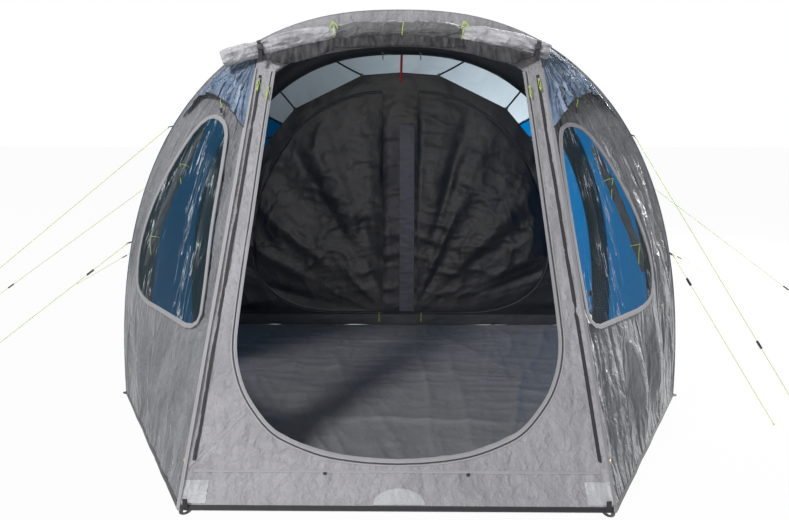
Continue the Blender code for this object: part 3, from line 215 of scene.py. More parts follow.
def finished_object(name, material=None):
    """Names the active object's piece, gives it its material and takes its place into its mesh."""
    piece = bpy.context.object
    piece.name = piece.data.name = name
    bpy.ops.object.transform_apply(location=True, rotation=True, scale=True)
    if material:
        piece.data.materials.clear()
        piece.data.materials.append(material)
    return piece


def side_of(way):
    other = X_AXIS if abs(way.x) < abs(way.z) else Z_AXIS
    return other.cross(way).normalized()


def swept(name, path, outline, material, loop=False, ups=None, ring=True):
    """A bar or strip: the outline, in across and up, carried along the path. Its UV map runs round and along."""
    count, steps = len(outline), len(path) - (0 if loop else 1)
    path = [Vector(point) for point in path]
    rows = []
    run = 0.0
    frames = []
    for index, point in enumerate(path):
        before = path[index - 1] if index or loop else point
        after = path[(index + 1) % len(path)] if index + 1 < len(path) or loop else point
        way = (after - before).normalized()
        if ups is not None:
            up = Vector(ups[index] if isinstance(ups, list) else ups)
            up = (up - up.dot(way) * way).normalized()
        elif frames:
            up = frames[-1][1] - frames[-1][1].dot(way) * way
            up.normalize()
        else:
            up = side_of(way)
        frames.append((way.cross(up), up))
        run += (point - path[index - 1]).length if index else 0.0
        rows.append(run)
    bpy.ops.object.select_all(action="DESELECT")
    across = count if ring else count - 1
    bpy.ops.mesh.primitive_grid_add(x_subdivisions=across, y_subdivisions=steps, size=2)
    piece = bpy.context.object
    mesh = piece.data
    lengths = np.concatenate([[0.0], np.cumsum([
        math.dist(outline[i % count], outline[(i + 1) % count]) for i in range(across)])])
    spots = []
    for vert in mesh.vertices:
        column = round((vert.co.x + 1) / 2 * across)
        row = round((vert.co.y + 1) / 2 * steps)
        side, up = frames[row % len(path)]
        wide, high = outline[column % count]
        total = rows[row] if row < len(path) else rows[-1] + (path[0] - path[-1]).length
        spots.append((lengths[column], total))
        vert.co = path[row % len(path)] + side * wide + up * high
    layer = mesh.uv_layers.active.data
    for corner in mesh.loops:
        layer[corner.index].uv = spots[corner.vertex_index]
    bpy.ops.object.mode_set(mode="EDIT")
    bpy.ops.mesh.select_all(action="SELECT")
    bpy.ops.mesh.remove_doubles(threshold=1e-6)
    if ring and not loop:
        bpy.ops.mesh.select_all(action="DESELECT")
        bpy.ops.mesh.select_non_manifold(extend=False)
        bpy.ops.mesh.fill_holes(sides=0)
    if ring:
        bpy.ops.mesh.select_all(action="SELECT")
        bpy.ops.mesh.normals_make_consistent(inside=False)
    bpy.ops.object.mode_set(mode="OBJECT")
    bpy.ops.object.shade_smooth_by_angle(angle=math.radians(40))
    return finished_object(name, material)


def round_outline(radius, sides=8, high=None):
    """A round or oval outline for a cord, a seam or a tube."""
    high = high or radius
    turns = [2 * math.pi * step / sides for step in range(sides)]
    return [(radius * math.cos(turn), high * math.sin(turn)) for turn in turns]


def flat_outline(width, thickness, crown=0.0):
    """A webbing or tape outline that lies on its cloth, with soft edges."""
    half, edge = width / 2, thickness / 3
    top = [(half, edge), (half - edge, thickness)]
    if crown:
        top += [(half / 2, thickness + crown * 0.8), (0.0, thickness + crown), (-half / 2, thickness + crown * 0.8)]
    return [(half, 0.0), *top, (-half + edge, thickness), (-half, edge), (-half, 0.0)]


neon = braided_cord("neon_cord", (0.62, 0.80, 0.10), (0.36, 0.50, 0.05))
KNOT_TURNS = 22
KNOT_SIZE = 0.0034
guy_pieces = {}
for line, (start, end, length) in GUY_LINES.items():
    start, end = Vector(start), Vector(end)
    way = (end - start).normalized()
    bpy.ops.object.select_all(action="DESELECT")
    bpy.ops.curve.primitive_nurbs_path_add()
    cord = bpy.context.object
    curve = cord.data
    curve.splines.clear()
    spline = curve.splines.new("POLY")
    spline.points.add(23)
    for index, point in enumerate(spline.points):
        share = index / 23
        point.co = (*start.lerp(end, share), 1)
    curve.bevel_depth = GUY_THICKNESS / 2
    curve.bevel_resolution = 3
    curve.use_fill_caps = True
    cord = finished_object(f"guy_cord_{line}", neon)
    for end_name, centre in (("top", start + way * 0.006), ("ground", end - way * 0.006)):
        side, up = side_of(way), way.cross(side_of(way))
        loops = []
        for step in range(KNOT_TURNS):
            turn = 2 * math.pi * step / KNOT_TURNS
            reach = KNOT_SIZE * (1 + 0.35 * math.cos(3 * turn))
            loops.append(
                centre + side * reach * math.cos(2 * turn) * 0.62 + up * reach * math.sin(2 * turn) * 0.62
                + way * KNOT_SIZE * 1.3 * math.sin(3 * turn)
            )
        knot = swept(f"guy_knot_{end_name}_{line}", loops, round_outline(GUY_THICKNESS * 0.4, 6), neon, loop=True)
        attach(knot, "root")
    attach(cord, "root")
    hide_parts(f"guy_line_{line}")
    guy_pieces[line] = cord

# Runners are flat moulded sliders of black nylon on the guy lines: the cord goes through one end and
# back through the other, and friction holds them.
def moulded_plastic(name, colour, roughness):
    """Moulded nylon or acetal: a fine spark-eroded grain with slightly rubbed edges."""
    finish = Finish(name, Specular_IOR_Level=0.45)
    place = finish.place()
    grain = finish.noise(place, 2400.0, 2.0)
    patches = finish.noise(place, 55.0, 2.0)
    paler = tuple(min(1.0, part * 1.7 + 0.012) for part in colour)
    return finish.finished(
        Base_Color=finish.blend(patches, colour, paler), Roughness=patches * 0.2 + (roughness - 0.1),
        Normal=finish.bump(grain, 0.0002, 0.35),
    )


black_nylon = moulded_plastic("black_nylon", (0.016, 0.016, 0.018), 0.42)
for line in GUY_LINES:
    node = frame["nodes"][f"runner_{line}"]
    node.data.materials.clear()
    node.data.materials.append(black_nylon)

# The fly is coated polyester, sewn of a grey roof and blue walls over three arches. It is stretched over
# the beams and hangs a little lower between them.
DEPTHS = {"porch": 1.27, "living": 1.38, "bedroom": 1.50, "rear": 0.70}
FRONT_Y = -sum(DEPTHS.values()) / 2
REAR_Y = -FRONT_Y
ARCH_PLACES = {"front": FRONT_Y + 1.27, "middle": FRONT_Y + 2.65, "rear": FRONT_Y + 4.15}
ARCH_POWER = 2.4
STATIONS = 24
ROOF_FIRST = 7
BAY_SAG = 0.018
BEAM_COVER = 0.125
FLY_THICKNESS = 0.0012
SEAM_GAP = 0.0004


class Hoop:
    """An arch of cloth in an upright plane, from its right foot over to its left foot."""

    turns = np.linspace(0.0, math.pi, 801)
    unit_x = np.sign(np.cos(turns)) * np.abs(np.cos(turns)) ** (2 / ARCH_POWER)
    unit_z = np.abs(np.sin(turns)) ** (2 / ARCH_POWER)

    def __init__(self, half_width, height, y):
        self.half_width, self.height, self.y = half_width, height, y
        self.x, self.z = half_width * self.unit_x, height * self.unit_z
        run = np.concatenate([[0.0], np.cumsum(np.hypot(np.diff(self.x), np.diff(self.z)))])
        self.length = run[-1]
        self.shares = run / run[-1]

    def point(self, share, inset=0.0):
        x, z = np.interp(share, self.shares, self.x), np.interp(share, self.shares, self.z)
        return Vector((x, self.y, z)) - self.outward(share) * float(inset)

    def outward(self, share):
        x, z = np.interp(share, self.shares, self.x), np.interp(share, self.shares, self.z)
        side = abs(x / self.half_width) ** (ARCH_POWER - 1) / self.half_width
        rise = (z / self.height) ** (ARCH_POWER - 1) / self.height
        return Vector((math.copysign(side, x), 0, rise)).normalized()

    def half_width_at(self, z):
        return self.half_width * max(0.0, 1 - (z / self.height) ** ARCH_POWER) ** (1 / ARCH_POWER)

    def height_at(self, x):
        return self.height * max(0.0, 1 - (abs(x) / self.half_width) ** ARCH_POWER) ** (1 / ARCH_POWER)

    def share_at(self, z, side):
        share = float(np.interp(z, self.z[:401], self.shares[:401]))
        return share if side > 0 else 1 - share


HOOPS = {
    "front": Hoop(1.47, 2.00, ARCH_PLACES["front"]), "middle": Hoop(1.47, 2.00, ARCH_PLACES["middle"]),
    "rear": Hoop(1.40, 1.75, ARCH_PLACES["rear"]),
}
fly_hoops = {}


def mix(low, high, share):
    return low + (high - low) * share


def clamp(value, low=0.0, high=1.0):
    return min(high, max(low, value))


def fly_hoop(y):
    """The fly's outline at a place along the tent."""
    key = round(y, 5)
    if key not in fly_hoops:
        first, last = ("front", "middle") if y <= ARCH_PLACES["middle"] else ("middle", "rear")
        front, back = HOOPS[first], HOOPS[last]
        free = clamp((y - front.y - BEAM_COVER) / (back.y - front.y - 2 * BEAM_COVER))
        sag = BAY_SAG * math.sin(math.pi * free)
        half_width = mix(front.half_width, back.half_width, free) - sag
        fly_hoops[key] = Hoop(half_width, mix(front.height, back.height, free) - sag, y)
    return fly_hoops[key]


def scattered(column, row, seed):
    """A repeatable number from 0 to 1 for whole numbers."""
    value = math.sin(column * 127.1 + row * 311.7 + seed * 74.7) * 43758.5453
    return value - math.floor(value)


def wander(u, v, seed=0):
    """Smooth uneven waves, -1 to 1, about one unit apart."""
    column, row = math.floor(u), math.floor(v)
    across, up = u - column, v - row
    across, up = across * across * (3 - 2 * across), up * up * (3 - 2 * up)
    low = mix(scattered(column, row, seed), scattered(column + 1, row, seed), across)
    high = mix(scattered(column, row + 1, seed), scattered(column + 1, row + 1, seed), across)
    return 2 * mix(low, high, up) - 1


def crumple(u, v, seed=0, octaves=3):
    """Sharp-edged creases of slack cloth, 0 in the flats and 1 on the ridges."""
    total, weight = 0.0, 0.0
    for octave in range(octaves):
        size = 1.9 ** octave
        bend = 0.6 * wander(u * size * 0.5 + 7, v * size * 0.5, seed + 31)
        ridge = 1 - abs(wander(u * size + bend, v * size - bend, seed + octave))
        total += ridge ** 3 / size
        weight += 1 / size
    return total / weight


def shaped_grid(name, across, up, place, material=None):
    """A grid whose points go where place(across, up) says, both 0 to 1, with a UV map in metres."""
    bpy.ops.object.select_all(action="DESELECT")
    bpy.ops.mesh.primitive_grid_add(x_subdivisions=across, y_subdivisions=up, size=2)
    piece = bpy.context.object
    mesh = piece.data
    places = {}
    spots = []
    for vert in mesh.vertices:
        key = (round((vert.co.x + 1) / 2, 6), round((vert.co.y + 1) / 2, 6))
        point, spot = place(*key)
        vert.co = point
        spots.append(spot)
    layer = mesh.uv_layers.active.data
    for corner in mesh.loops:
        layer[corner.index].uv = spots[corner.vertex_index]
    return finished_object(name, material)


def in_edit_mode(piece, *steps):
    bpy.ops.object.select_all(action="DESELECT")
    bpy.context.view_layer.objects.active = piece
    piece.select_set(True)
    bpy.ops.object.mode_set(mode="EDIT")
    bpy.ops.mesh.select_all(action="SELECT")
    for step, settings in steps:
        step(**settings)
    bpy.ops.object.mode_set(mode="OBJECT")
    return piece


def modified(piece, kind, **settings):
    """Adds a modifier, sets it and applies it."""
    bpy.ops.object.select_all(action="DESELECT")
    bpy.context.view_layer.objects.active = piece
    piece.select_set(True)
    modifier = piece.modifiers.new(kind.lower(), kind)
    for name, value in settings.items():
        setattr(modifier, name, value)
    bpy.ops.object.modifier_apply(modifier=modifier.name)
    return piece


def cloth(piece, thickness=FLY_THICKNESS, side=-1.0, angle=50, lining=None):
    """Gives a cloth its thickness and soft shading, and its inner face the look that it has with light behind it."""
    if lining:
        piece.data.materials.append(lining)
    modified(
        piece, "SOLIDIFY", thickness=thickness, offset=side, use_even_offset=False, material_offset=1 if lining else 0)
    bpy.ops.object.shade_smooth_by_angle(angle=math.radians(angle))
    return piece


def sewn(piece, body="root", nodes=()):
    """Lets a piece ride on a body, and hides the CAD nodes it stands for."""
    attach(piece, body)
    if nodes:
        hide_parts(*nodes)
    return piece


def woven_cloth(name, colour, shade, painted_sheen_and_dust, roughness=0.50, weave=0.00022, wrinkle=0.011, sheen=0.25, thin=None, folds=0.0):
    """Coated polyester: plain weave, soft creases from packing with a paler painted sheen along them, faint dust, and,
    where folds are given, a painted highlight on their crests.
    """
    finish = Finish(name, Sheen_Weight=sheen, Sheen_Roughness=0.4, Specular_IOR_Level=0.35)
    spot, place = finish.place("UV"), finish.place()
    warp = finish.node(
        "ShaderNodeTexWave", {"bands_direction": "X", "wave_profile": "SIN"},
        {"Vector": spot, "Scale": 260.0, "Distortion": 0.6, "Detail": 1.0},
    )
    weft = finish.node(
        "ShaderNodeTexWave", {"bands_direction": "Y", "wave_profile": "SIN"},
        {"Vector": spot, "Scale": 260.0, "Distortion": 0.6, "Detail": 1.0},
    )
    soft = finish.noise(place, 3.2, 4.0, 0.55)
    pulls = finish.noise(finish.scaled(place, (2.6, 2.6, 0.7)), 2.2, 4.0, 0.6)
    crease = finish.ridge(pulls, 14.0)
    fine = finish.noise(place, 26.0, 4.0, 0.6)
    dust = finish.ramp(finish.noise(place, 1.3, 5.0, 0.65), [(0.42, 0.0), (0.72, 1.0)])
    tone = finish.blend(finish.ramp(soft, [(0.3, 0.0), (0.7, 1.0)]), colour, shade)
    # Paler along the crease lines: painted sheen. Paler in the dust patches: dust.
    tone = finish.blend(crease * 0.16 + dust * 0.22, tone, painted_sheen_and_dust)
    normal = finish.bump(warp * weft, weave, 0.35)
    crinkle = finish.ridge(finish.noise(place, 11.0, 4.0, 0.55), 3.0)
    normal = finish.bump(soft + fine * 0.2 + pulls * 1.4 + crinkle * 0.35, wrinkle, 0.9, normal)
    if folds:
        drape = finish.noise(finish.scaled(spot, (4.2, 1.3, 1.0), (0.0, 0.0, -0.32)), 1.8, 1.6, 0.5)
        gathers = finish.ramp(drape, [(0.36, 0.0), (0.50, 0.55), (0.56, 0.35), (0.68, 1.0)])
        normal = finish.bump(gathers, folds, 0.9, normal)
        # Paler on the crests of the drape folds: painted highlight.
        tone = finish.blend(finish.ramp(drape, [(0.44, 0.0), (0.68, 0.40)]), tone, painted_sheen_and_dust)
    if thin:
        finish.let_through(*thin)
    return finish.finished(Base_Color=tone, Roughness=roughness + soft * 0.12 - crease * 0.08, Normal=normal)


grey_polyester = woven_cloth(
    "grey_polyester", (0.300, 0.292, 0.308), (0.238, 0.231, 0.247), (0.42, 0.41, 0.43), wrinkle=0.020)
# The porch sides are the same grey cloth as the front panel; this darker copy of it is painted shade.
shaded_side_polyester = woven_cloth(
    "shaded_side_polyester", (0.150, 0.152, 0.165), (0.098, 0.101, 0.112), (0.30, 0.30, 0.32), roughness=0.46, wrinkle=0.024, folds=0.034)
roof_polyester = woven_cloth(
    "roof_polyester", (0.430, 0.418, 0.440), (0.370, 0.360, 0.380), (0.54, 0.53, 0.55), thin=((0.90, 0.97, 1.0), 0.26))
roof_lining = woven_cloth(
    "roof_lining", (0.20, 0.205, 0.215), (0.16, 0.165, 0.175), (0.26, 0.26, 0.27), thin=((0.74, 0.82, 0.88), 0.85))
blue_polyester = woven_cloth(
    "blue_polyester", (0.018, 0.090, 0.215), (0.012, 0.066, 0.165), (0.07, 0.17, 0.33), thin=((0.015, 0.36, 0.66), 0.40))
blue_lining = woven_cloth(
    "blue_lining", (0.010, 0.060, 0.120), (0.008, 0.045, 0.095), (0.02, 0.08, 0.14), thin=((0.008, 0.34, 0.50), 0.88))


def fly_place(share, y, inward):
    """A point of the fly with the give of its cloth, which is held at the arches and the hem."""
    hoop = fly_hoop(y)
    return hoop.point(share, inward)


def fly_give(share, y):
    """How far the fly hangs inside its stretched outline."""
    free = 1.0
    for hoop in HOOPS.values():
        free = min(free, clamp((abs(y - hoop.y) - 0.075) / 0.16))
    run = share * 4.6
    waves = 0.5 + 0.5 * wander(run * 2.3, y * 3.1, 3)
    pulls = crumple(run * 2.6, y * 1.4, 11)
    seam = max(0.0, 1 - abs(abs(y - ARCH_PLACES["middle"]) - 0.085) / 0.02)
    return free * (0.0080 * waves + 0.0120 * pulls) + 0.0006 * seam


def bay(name, first_hoop, last_hoop, low, high, material, lining, flat_width):
    start, end = HOOPS[first_hoop].y + SEAM_GAP, HOOPS[last_hoop].y - SEAM_GAP
    trim = SEAM_GAP / 3.4
    first = max(0.0002, low / STATIONS + (trim if low else 0.0))
    last = min(0.9998, high / STATIONS - (trim if high < STATIONS else 0.0))
    length = HOOPS[first_hoop].length

    def place(across, up):
        share, y = mix(last, first, across), mix(start, end, up)
        point = fly_place(share, y, fly_give(share, y))
        point.z = max(point.z, 0.0)
        return point, (share * length, y)

    piece = shaped_grid(name, max(24, round((high - low) * 11)), 84, place, material)
    cloth(piece, lining=lining)
    sewn(piece, nodes=[name.replace("fly_", "")])


for part, first_hoop, last_hoop in (("front", "front", "middle"), ("rear", "middle", "rear")):
    long = HOOPS[first_hoop].length / STATIONS
    if part == "rear":
        long = (HOOPS["middle"].length + HOOPS["rear"].length) / 2 / STATIONS
    last = STATIONS - ROOF_FIRST
    for name, low, high, material, lining, slot in (
        ("fly_roof_" + part, ROOF_FIRST, last, roof_polyester, roof_lining, "grey_cloth"),
        (f"fly_wall_{part}_right", 0, ROOF_FIRST, blue_polyester, blue_lining, "wall_cloth"),
        (f"fly_wall_{part}_left", last, STATIONS, blue_polyester, blue_lining, "wall_cloth"),
    ):
        bay(name, first_hoop, last_hoop, low, high, material, lining, long * (high - low))

# Seams are felled and taped: a doubled strip of the fly's cloth covers each join, with two rows of stitches.
def stitched_tape(name, colour, shade, stitch, rows=2, pitch=0.0042, width=0.02):
    """Folded cloth tape: woven, with rows of lock stitches along it that dent it a little."""
    finish = Finish(name, Roughness=0.6, Sheen_Weight=0.2, Specular_IOR_Level=0.3)
    spot = finish.place("UV")
    parts = finish.node("ShaderNodeSeparateXYZ", {}, {"Vector": spot}, 0)
    along = finish.node("ShaderNodeSeparateXYZ", {}, {"Vector": spot}, 1)
    dash = (along / pitch).maths("FRACT") > 0.3
    lines = None
    for row in range(rows):
        middle = width * (0.18 + 0.64 * (row / max(1, rows - 1)))
        line = ((parts - middle).maths("ABSOLUTE") < 0.0007) * dash
        lines = line if lines is None else lines + line
    weave = finish.noise(finish.place(), 420.0, 2.0)
    soft = finish.noise(finish.place(), 14.0, 3.0)
    tone = finish.blend(lines, finish.blend(soft, colour, shade), stitch)
    return finish.finished(Base_Color=tone, Normal=finish.bump(weave * 0.3 + lines * 0.7 + soft * 0.5, 0.0008, 0.6))


grey_tape = stitched_tape("grey_tape", (0.33, 0.32, 0.335), (0.27, 0.262, 0.275), (0.46, 0.45, 0.47))
blue_tape = stitched_tape("blue_tape", (0.016, 0.075, 0.18), (0.012, 0.055, 0.14), (0.10, 0.20, 0.34))
black_tape = stitched_tape("black_tape", (0.016, 0.016, 0.018), (0.011, 0.011, 0.013), (0.05, 0.05, 0.055))
for hoop_name, hoop in HOOPS.items():
    for hand, low, high, material, slot in (
        ("right", 0.001, ROOF_FIRST / STATIONS, blue_tape, "wall_cloth"),
        ("roof", ROOF_FIRST / STATIONS, 1 - ROOF_FIRST / STATIONS, grey_tape, "grey_cloth"),
        ("left", 1 - ROOF_FIRST / STATIONS, 0.999, blue_tape, "wall_cloth"),
    ):
        shares = np.linspace(low, high, 40).tolist()
        shift = {"front": 0.011, "middle": 0.0, "rear": -0.011}[hoop_name]
        path = [hoop.point(share, -0.0002) + Y_AXIS * shift for share in shares]
        for point in path:
            point.z = max(point.z, 0.0015)
        ups = [hoop.outward(share) for share in shares]
        strip = swept(f"arch_seam_{hoop_name}_{hand}", path, flat_outline(0.024, 0.0014), material, ups=ups)
        sewn(strip)
for part, first_hoop, last_hoop in (("front", "front", "middle"), ("rear", "middle", "rear")):
    for hand, share in (("right", ROOF_FIRST / STATIONS), ("left", 1 - ROOF_FIRST / STATIONS)):
        places = np.linspace(HOOPS[first_hoop].y + 0.024, HOOPS[last_hoop].y - 0.012, 36).tolist()
        path = [fly_place(share, y, fly_give(share, y) - 0.0004) for y in places]
        ups = [fly_hoop(y).outward(share) for y in places]
        strip = swept(f"eave_seam_{part}_{hand}", path, flat_outline(0.018, 0.0012), grey_tape, ups=ups)
        sewn(strip)

# The three air beams are welded film tubes in zipped black sleeves. They are pumped up through a push
# valve near the right foot, and each foot is folded flat and strapped to the ground.
BEAM_PLACES = {"front": ARCH_PLACES["front"] + 0.058, "middle": ARCH_PLACES["middle"], "rear": ARCH_PLACES["rear"] - 0.058}
BEAM_INSET = 0.0615
BEAM_RADIUS = 0.0595


def sleeve_cloth():
    """Black sleeve of tightly woven polyester with a zip's ridge and creases across its bends."""
    finish = Finish("sleeve_cloth", Roughness=0.62, Sheen_Weight=0.10, Specular_IOR_Level=0.3)
    spot, place = finish.place("UV"), finish.place()
    weave = finish.noise(finish.scaled(spot, (700, 700, 1)), 1.0, 2.0)
    folds = finish.noise(finish.scaled(spot, (9, 30, 1)), 1.0, 4.0, 0.6)
    dust = finish.ramp(finish.noise(place, 2.2, 4.0), [(0.45, 0.0), (0.75, 1.0)])
    tone = finish.blend(dust * 0.5 + folds * 0.25, (0.0165, 0.0171, 0.0198), (0.0468, 0.0484, 0.0539))
    return finish.finished(Base_Color=tone, Normal=finish.bump(weave * 0.1 + folds, 0.004, 0.7))


black_sleeve = sleeve_cloth()
for part, y in BEAM_PLACES.items():
    hoop = fly_hoop(y)

    def beam_place(across, up, hoop=hoop):
        turn = 2 * math.pi * (across % 1.0)
        share = mix(0.0, 1.0, up)
        centre = hoop.point(share, BEAM_INSET)
        out = hoop.outward(share)
        bend = abs(math.cos(math.pi * share))
        inner = max(0.0, -math.cos(turn))
        folds = 0.0016 * inner * wander(share * 70, turn, 5) + 0.0008 * wander(share * 160, turn * 1.5, 6)
        foot = clamp(centre.z / 0.10)
        radius = BEAM_RADIUS - 0.0016 + folds - 0.001 * bend
        way = out * math.cos(turn) * mix(0.9, 1.0, foot) + Y_AXIS * math.sin(turn)
        point = centre + way * radius
        point.z = max(point.z, 0.0)
        return point, (across * 0.38, share * hoop.length)

    tube = shaped_grid(f"air_beam_{part}", 32, 300, beam_place, black_sleeve)
    in_edit_mode(
        tube, (bpy.ops.mesh.remove_doubles, {"threshold": 1e-5}), (bpy.ops.mesh.select_all, {"action": "DESELECT"}),
        (bpy.ops.mesh.select_non_manifold, {"extend": False}), (bpy.ops.mesh.fill_holes, {"sides": 0}),
        (bpy.ops.mesh.select_all, {"action": "SELECT"}), (bpy.ops.mesh.normals_make_consistent, {"inside": False}),
    )
    bpy.ops.object.shade_smooth_by_angle(angle=math.radians(60))
    sewn(tube, nodes=[f"beam_{part}"])
    shares = np.linspace(0.03, 0.97, 130).tolist()
    path = [hoop.point(share, BEAM_INSET * 2 - 0.0035) for share in shares]
    ups = [-hoop.outward(share) for share in shares]
    zip_strip = swept(f"beam_zip_{part}", path, flat_outline(0.022, 0.0010, 0.0016), black_tape, ups=ups)
    sewn(zip_strip)

# The porch is a sloping front panel with a doorway, a short header up to the front arch, and two ruled
# sides. All of it is the roof's grey cloth, sewn with a crumpled stretch between the zips and the windows.
class SlopedEnd:
    """A sloped end of the tent: a flat middle panel and a ruled side to the arch on each hand."""

    def __init__(self, hoop, base_y, top_y, base_half, top_half, top_z, crown, join_z):
        self.hoop, self.base_y, self.top_y = hoop, base_y, top_y
        self.base_half, self.top_half, self.top_z = base_half, top_half, top_z
        self.crown, self.join_z = crown, join_z
        self.facing = 1 if base_y > hoop.y else -1
        self.normal = (-self.facing * X_AXIS.cross(Vector((0, top_y - base_y, top_z)))).normalized()
        self.lean = (top_y - base_y) / top_z

    def edge(self, share, side):
        half = mix(self.base_half, self.top_half, share)
        return Vector((side * half, mix(self.base_y, self.top_y, share), self.top_z * share))

    def side_point(self, across, share, side):
        z = self.join_z * share
        on_hoop = Vector((side * self.hoop.half_width_at(z), self.hoop.y, z))
        return self.edge(share, side).lerp(on_hoop, across)

    def side_normal(self, across, share, side):
        low = min(share, 0.99)
        along = self.side_point(across + 0.01, share, side) - self.side_point(across, share, side)
        up = self.side_point(across, low + 0.01, side) - self.side_point(across, low, side)
        normal = along.cross(up).normalized()
        return normal if normal.x * side > 0 else -normal

    def panel_point(self, x, z, lift=0.0):
        return Vector((x, self.base_y + z * self.lean, z)) + lift * self.normal

    def crown_height(self, share):
        return self.top_z + self.crown * (1 - share * share)

    def half_at(self, z):
        return mix(self.base_half, self.top_half, z / self.top_z)

    def panel_grid_point(self, share, up):
        z = self.crown_height(share) * max(up, 0.0008)
        return self.panel_point(share * self.half_at(min(z, self.top_z)), z)

    def header_point(self, share, rise):
        z = self.crown_height(share)
        low = self.panel_point(share * self.half_at(min(z, self.top_z)), z)
        x = share * self.hoop.half_width_at(self.join_z)
        return low.lerp(Vector((x, self.hoop.y, self.hoop.height_at(x))), rise)

    def header_normal(self, share, rise):
        up = self.header_point(share, 1.0) - self.header_point(share, 0.0)
        along = self.header_point(min(1, share + 0.01), rise) - self.header_point(share - 0.01, rise)
        normal = up.cross(along).normalized()
        return normal if normal.y * self.facing > 0 else -normal


PORCH = SlopedEnd(HOOPS["front"], FRONT_Y, HOOPS["front"].y - 0.13, 0.84, 0.69, 1.74, 0.11, 1.86)
DOORWAY = [
    (0.0, 0.163), (0.110, 0.166), (0.250, 0.180), (0.331, 0.198), (0.4185, 0.226), (0.4995, 0.261), (0.5805, 0.339),
    (0.6345, 0.414), (0.6737, 0.525), (0.675, 0.658), (0.6055, 1.662),
]
HEAD_SHARES = (0.98, 0.8, 0.6, 0.4, 0.2, 0.0)


def rounded(points, times=2, closed=True):
    """Cuts the corners of an outline until it is a smooth line."""
    for _ in range(times):
        count = len(points)
        cut = [] if closed else [points[0]]
        for index in range(count if closed else count - 1):
            here, after = points[index], points[(index + 1) % count]
            cut += [tuple(mix(a, b, 0.25) for a, b in zip(here, after)),
                    tuple(mix(a, b, 0.75) for a, b in zip(here, after))]
        points = cut if closed else [*cut, points[-1]]
    return points


head = [(share * 0.6055, PORCH.crown_height(share) - 0.03) for share in HEAD_SHARES]
right_half = rounded([*DOORWAY, *head], 2, closed=False)
doorway_line = right_half + [(-x, z) for x, z in reversed(right_half[1:-1])]


def panel_crumple(x, z, side_share):
    """Upright creases between the side zip and the edge, and soft waves low on the panel."""
    edge = clamp((side_share - 0.78) / 0.10)
    strip = crumple(x * 22, z * 3.6, 21) * edge
    low = clamp(1 - z / 0.5)
    return (
        0.0110 * strip + 0.0075 * low * (1 + wander(x * 5, z * 6, 23)) + 0.0030 * (1 + wander(x * 9, z * 2.6, 29))
        + 0.0110 * crumple(x * 7, z * 5, 27) * (0.3 + low)
    )


def on_panel(x, z, lift=0.0):
    """A point of the front panel's cloth, on its soft folds."""
    share = x / PORCH.half_at(min(z, PORCH.top_z))
    rim = clamp((1 - z / PORCH.crown_height(share)) * 12) * clamp((1 - abs(share)) * 60) * clamp((z - 0.022) * 16)
    return PORCH.panel_point(x, z, lift - panel_crumple(x, z, abs(share)) * rim)


def front_place(across, up):
    share = 2 * across - 1
    ends = 1 - 0.0012 / 0.8
    split = 0.9
    if up <= split:
        point = PORCH.panel_grid_point(share * ends, up / split)
        return on_panel(point.x, point.z), (point.x, point.z * 1.195)
    rise = (up - split) / (1 - split)
    gap = 1 - 0.0022 / (PORCH.header_point(share, 1.0) - PORCH.header_point(share, 0.0)).length
    point = PORCH.header_point(share * ends, min(rise, gap))
    normal = PORCH.header_normal(share, rise)
    waves = 0.003 * math.sin(math.pi * rise) * (0.5 + 0.5 * wander(point.x * 9, rise * 2, 33))
    return point - normal * waves, (point.x, 2.2 + rise * 0.2)


def prism(name, outline, matrix, depth):
    """A cutter with this outline, from one side of its plane to the other."""
    bpy.ops.object.select_all(action="DESELECT")
    bpy.ops.mesh.primitive_circle_add(vertices=len(outline), radius=1, fill_type="NGON")
    cutter = bpy.context.object
    cutter.name = name
    for vert, (x, y) in zip(cutter.data.vertices, outline):
        vert.co = (x, y, -depth)
    in_edit_mode(
        cutter, (bpy.ops.mesh.extrude_region_move, {"TRANSFORM_OT_translate": {"value": (0, 0, 2 * depth)}}),
        (bpy.ops.mesh.select_all, {"action": "SELECT"}), (bpy.ops.mesh.normals_make_consistent, {"inside": False}),
    )
    cutter.matrix_world = matrix
    return cutter


def cut(piece, cutter, operation="DIFFERENCE", keep=False):
    bpy.context.view_layer.update()
    modified(piece, "BOOLEAN", object=cutter, operation=operation, solver="EXACT")
    if not keep:
        bpy.data.objects.remove(cutter, do_unlink=True)
    return piece


def plane_at(point, out, up):
    """Local Z along out, local Y as near to up as it can be."""
    z = Vector(out).normalized()
    x = Vector(up).cross(z).normalized()
    return Matrix.Translation(Vector(point)) @ Matrix((x, z.cross(x), z)).transposed().to_4x4()


porch_front = shaped_grid("porch_front", 150, 170, front_place, grey_polyester)
cloth(porch_front)
cut(porch_front, prism("doorway_cutter", doorway_line, plane_at((0, FRONT_Y, 0), -Y_AXIS, Z_AXIS), 2.5))
bpy.ops.object.shade_smooth_by_angle(angle=math.radians(50))
sewn(porch_front, nodes=["porch_panel"])

WINDOWS = {
    "left": [
        (0.635, 0.826), (0.258, 0.823), (0.180, 0.732), (0.150, 0.560), (0.110, 0.440), (0.095, 0.329),
        (0.450, 0.325), (0.819, 0.318), (0.885, 0.400), (0.880, 0.520), (0.780, 0.680),
    ],
    "right": [
        (0.500, 0.783), (0.239, 0.824), (0.060, 0.806), (0.030, 0.618), (0.030, 0.448), (0.040, 0.345),
        (0.282, 0.335), (0.671, 0.318), (0.760, 0.379), (0.755, 0.470), (0.680, 0.600),
    ],
}
SIDES = {"left": -1, "right": 1}


def window_line(hand, shrink=0.0):
    """The window's outline as points of its porch side, with round corners."""
    side = SIDES[hand]
    line = [PORCH.side_point(across, share, side) for across, share in rounded(WINDOWS[hand], 2)]
    if shrink:
        centre = sum(line, Vector()) / len(line)
        line = [point + (centre - point).normalized() * shrink for point in line]
    return line


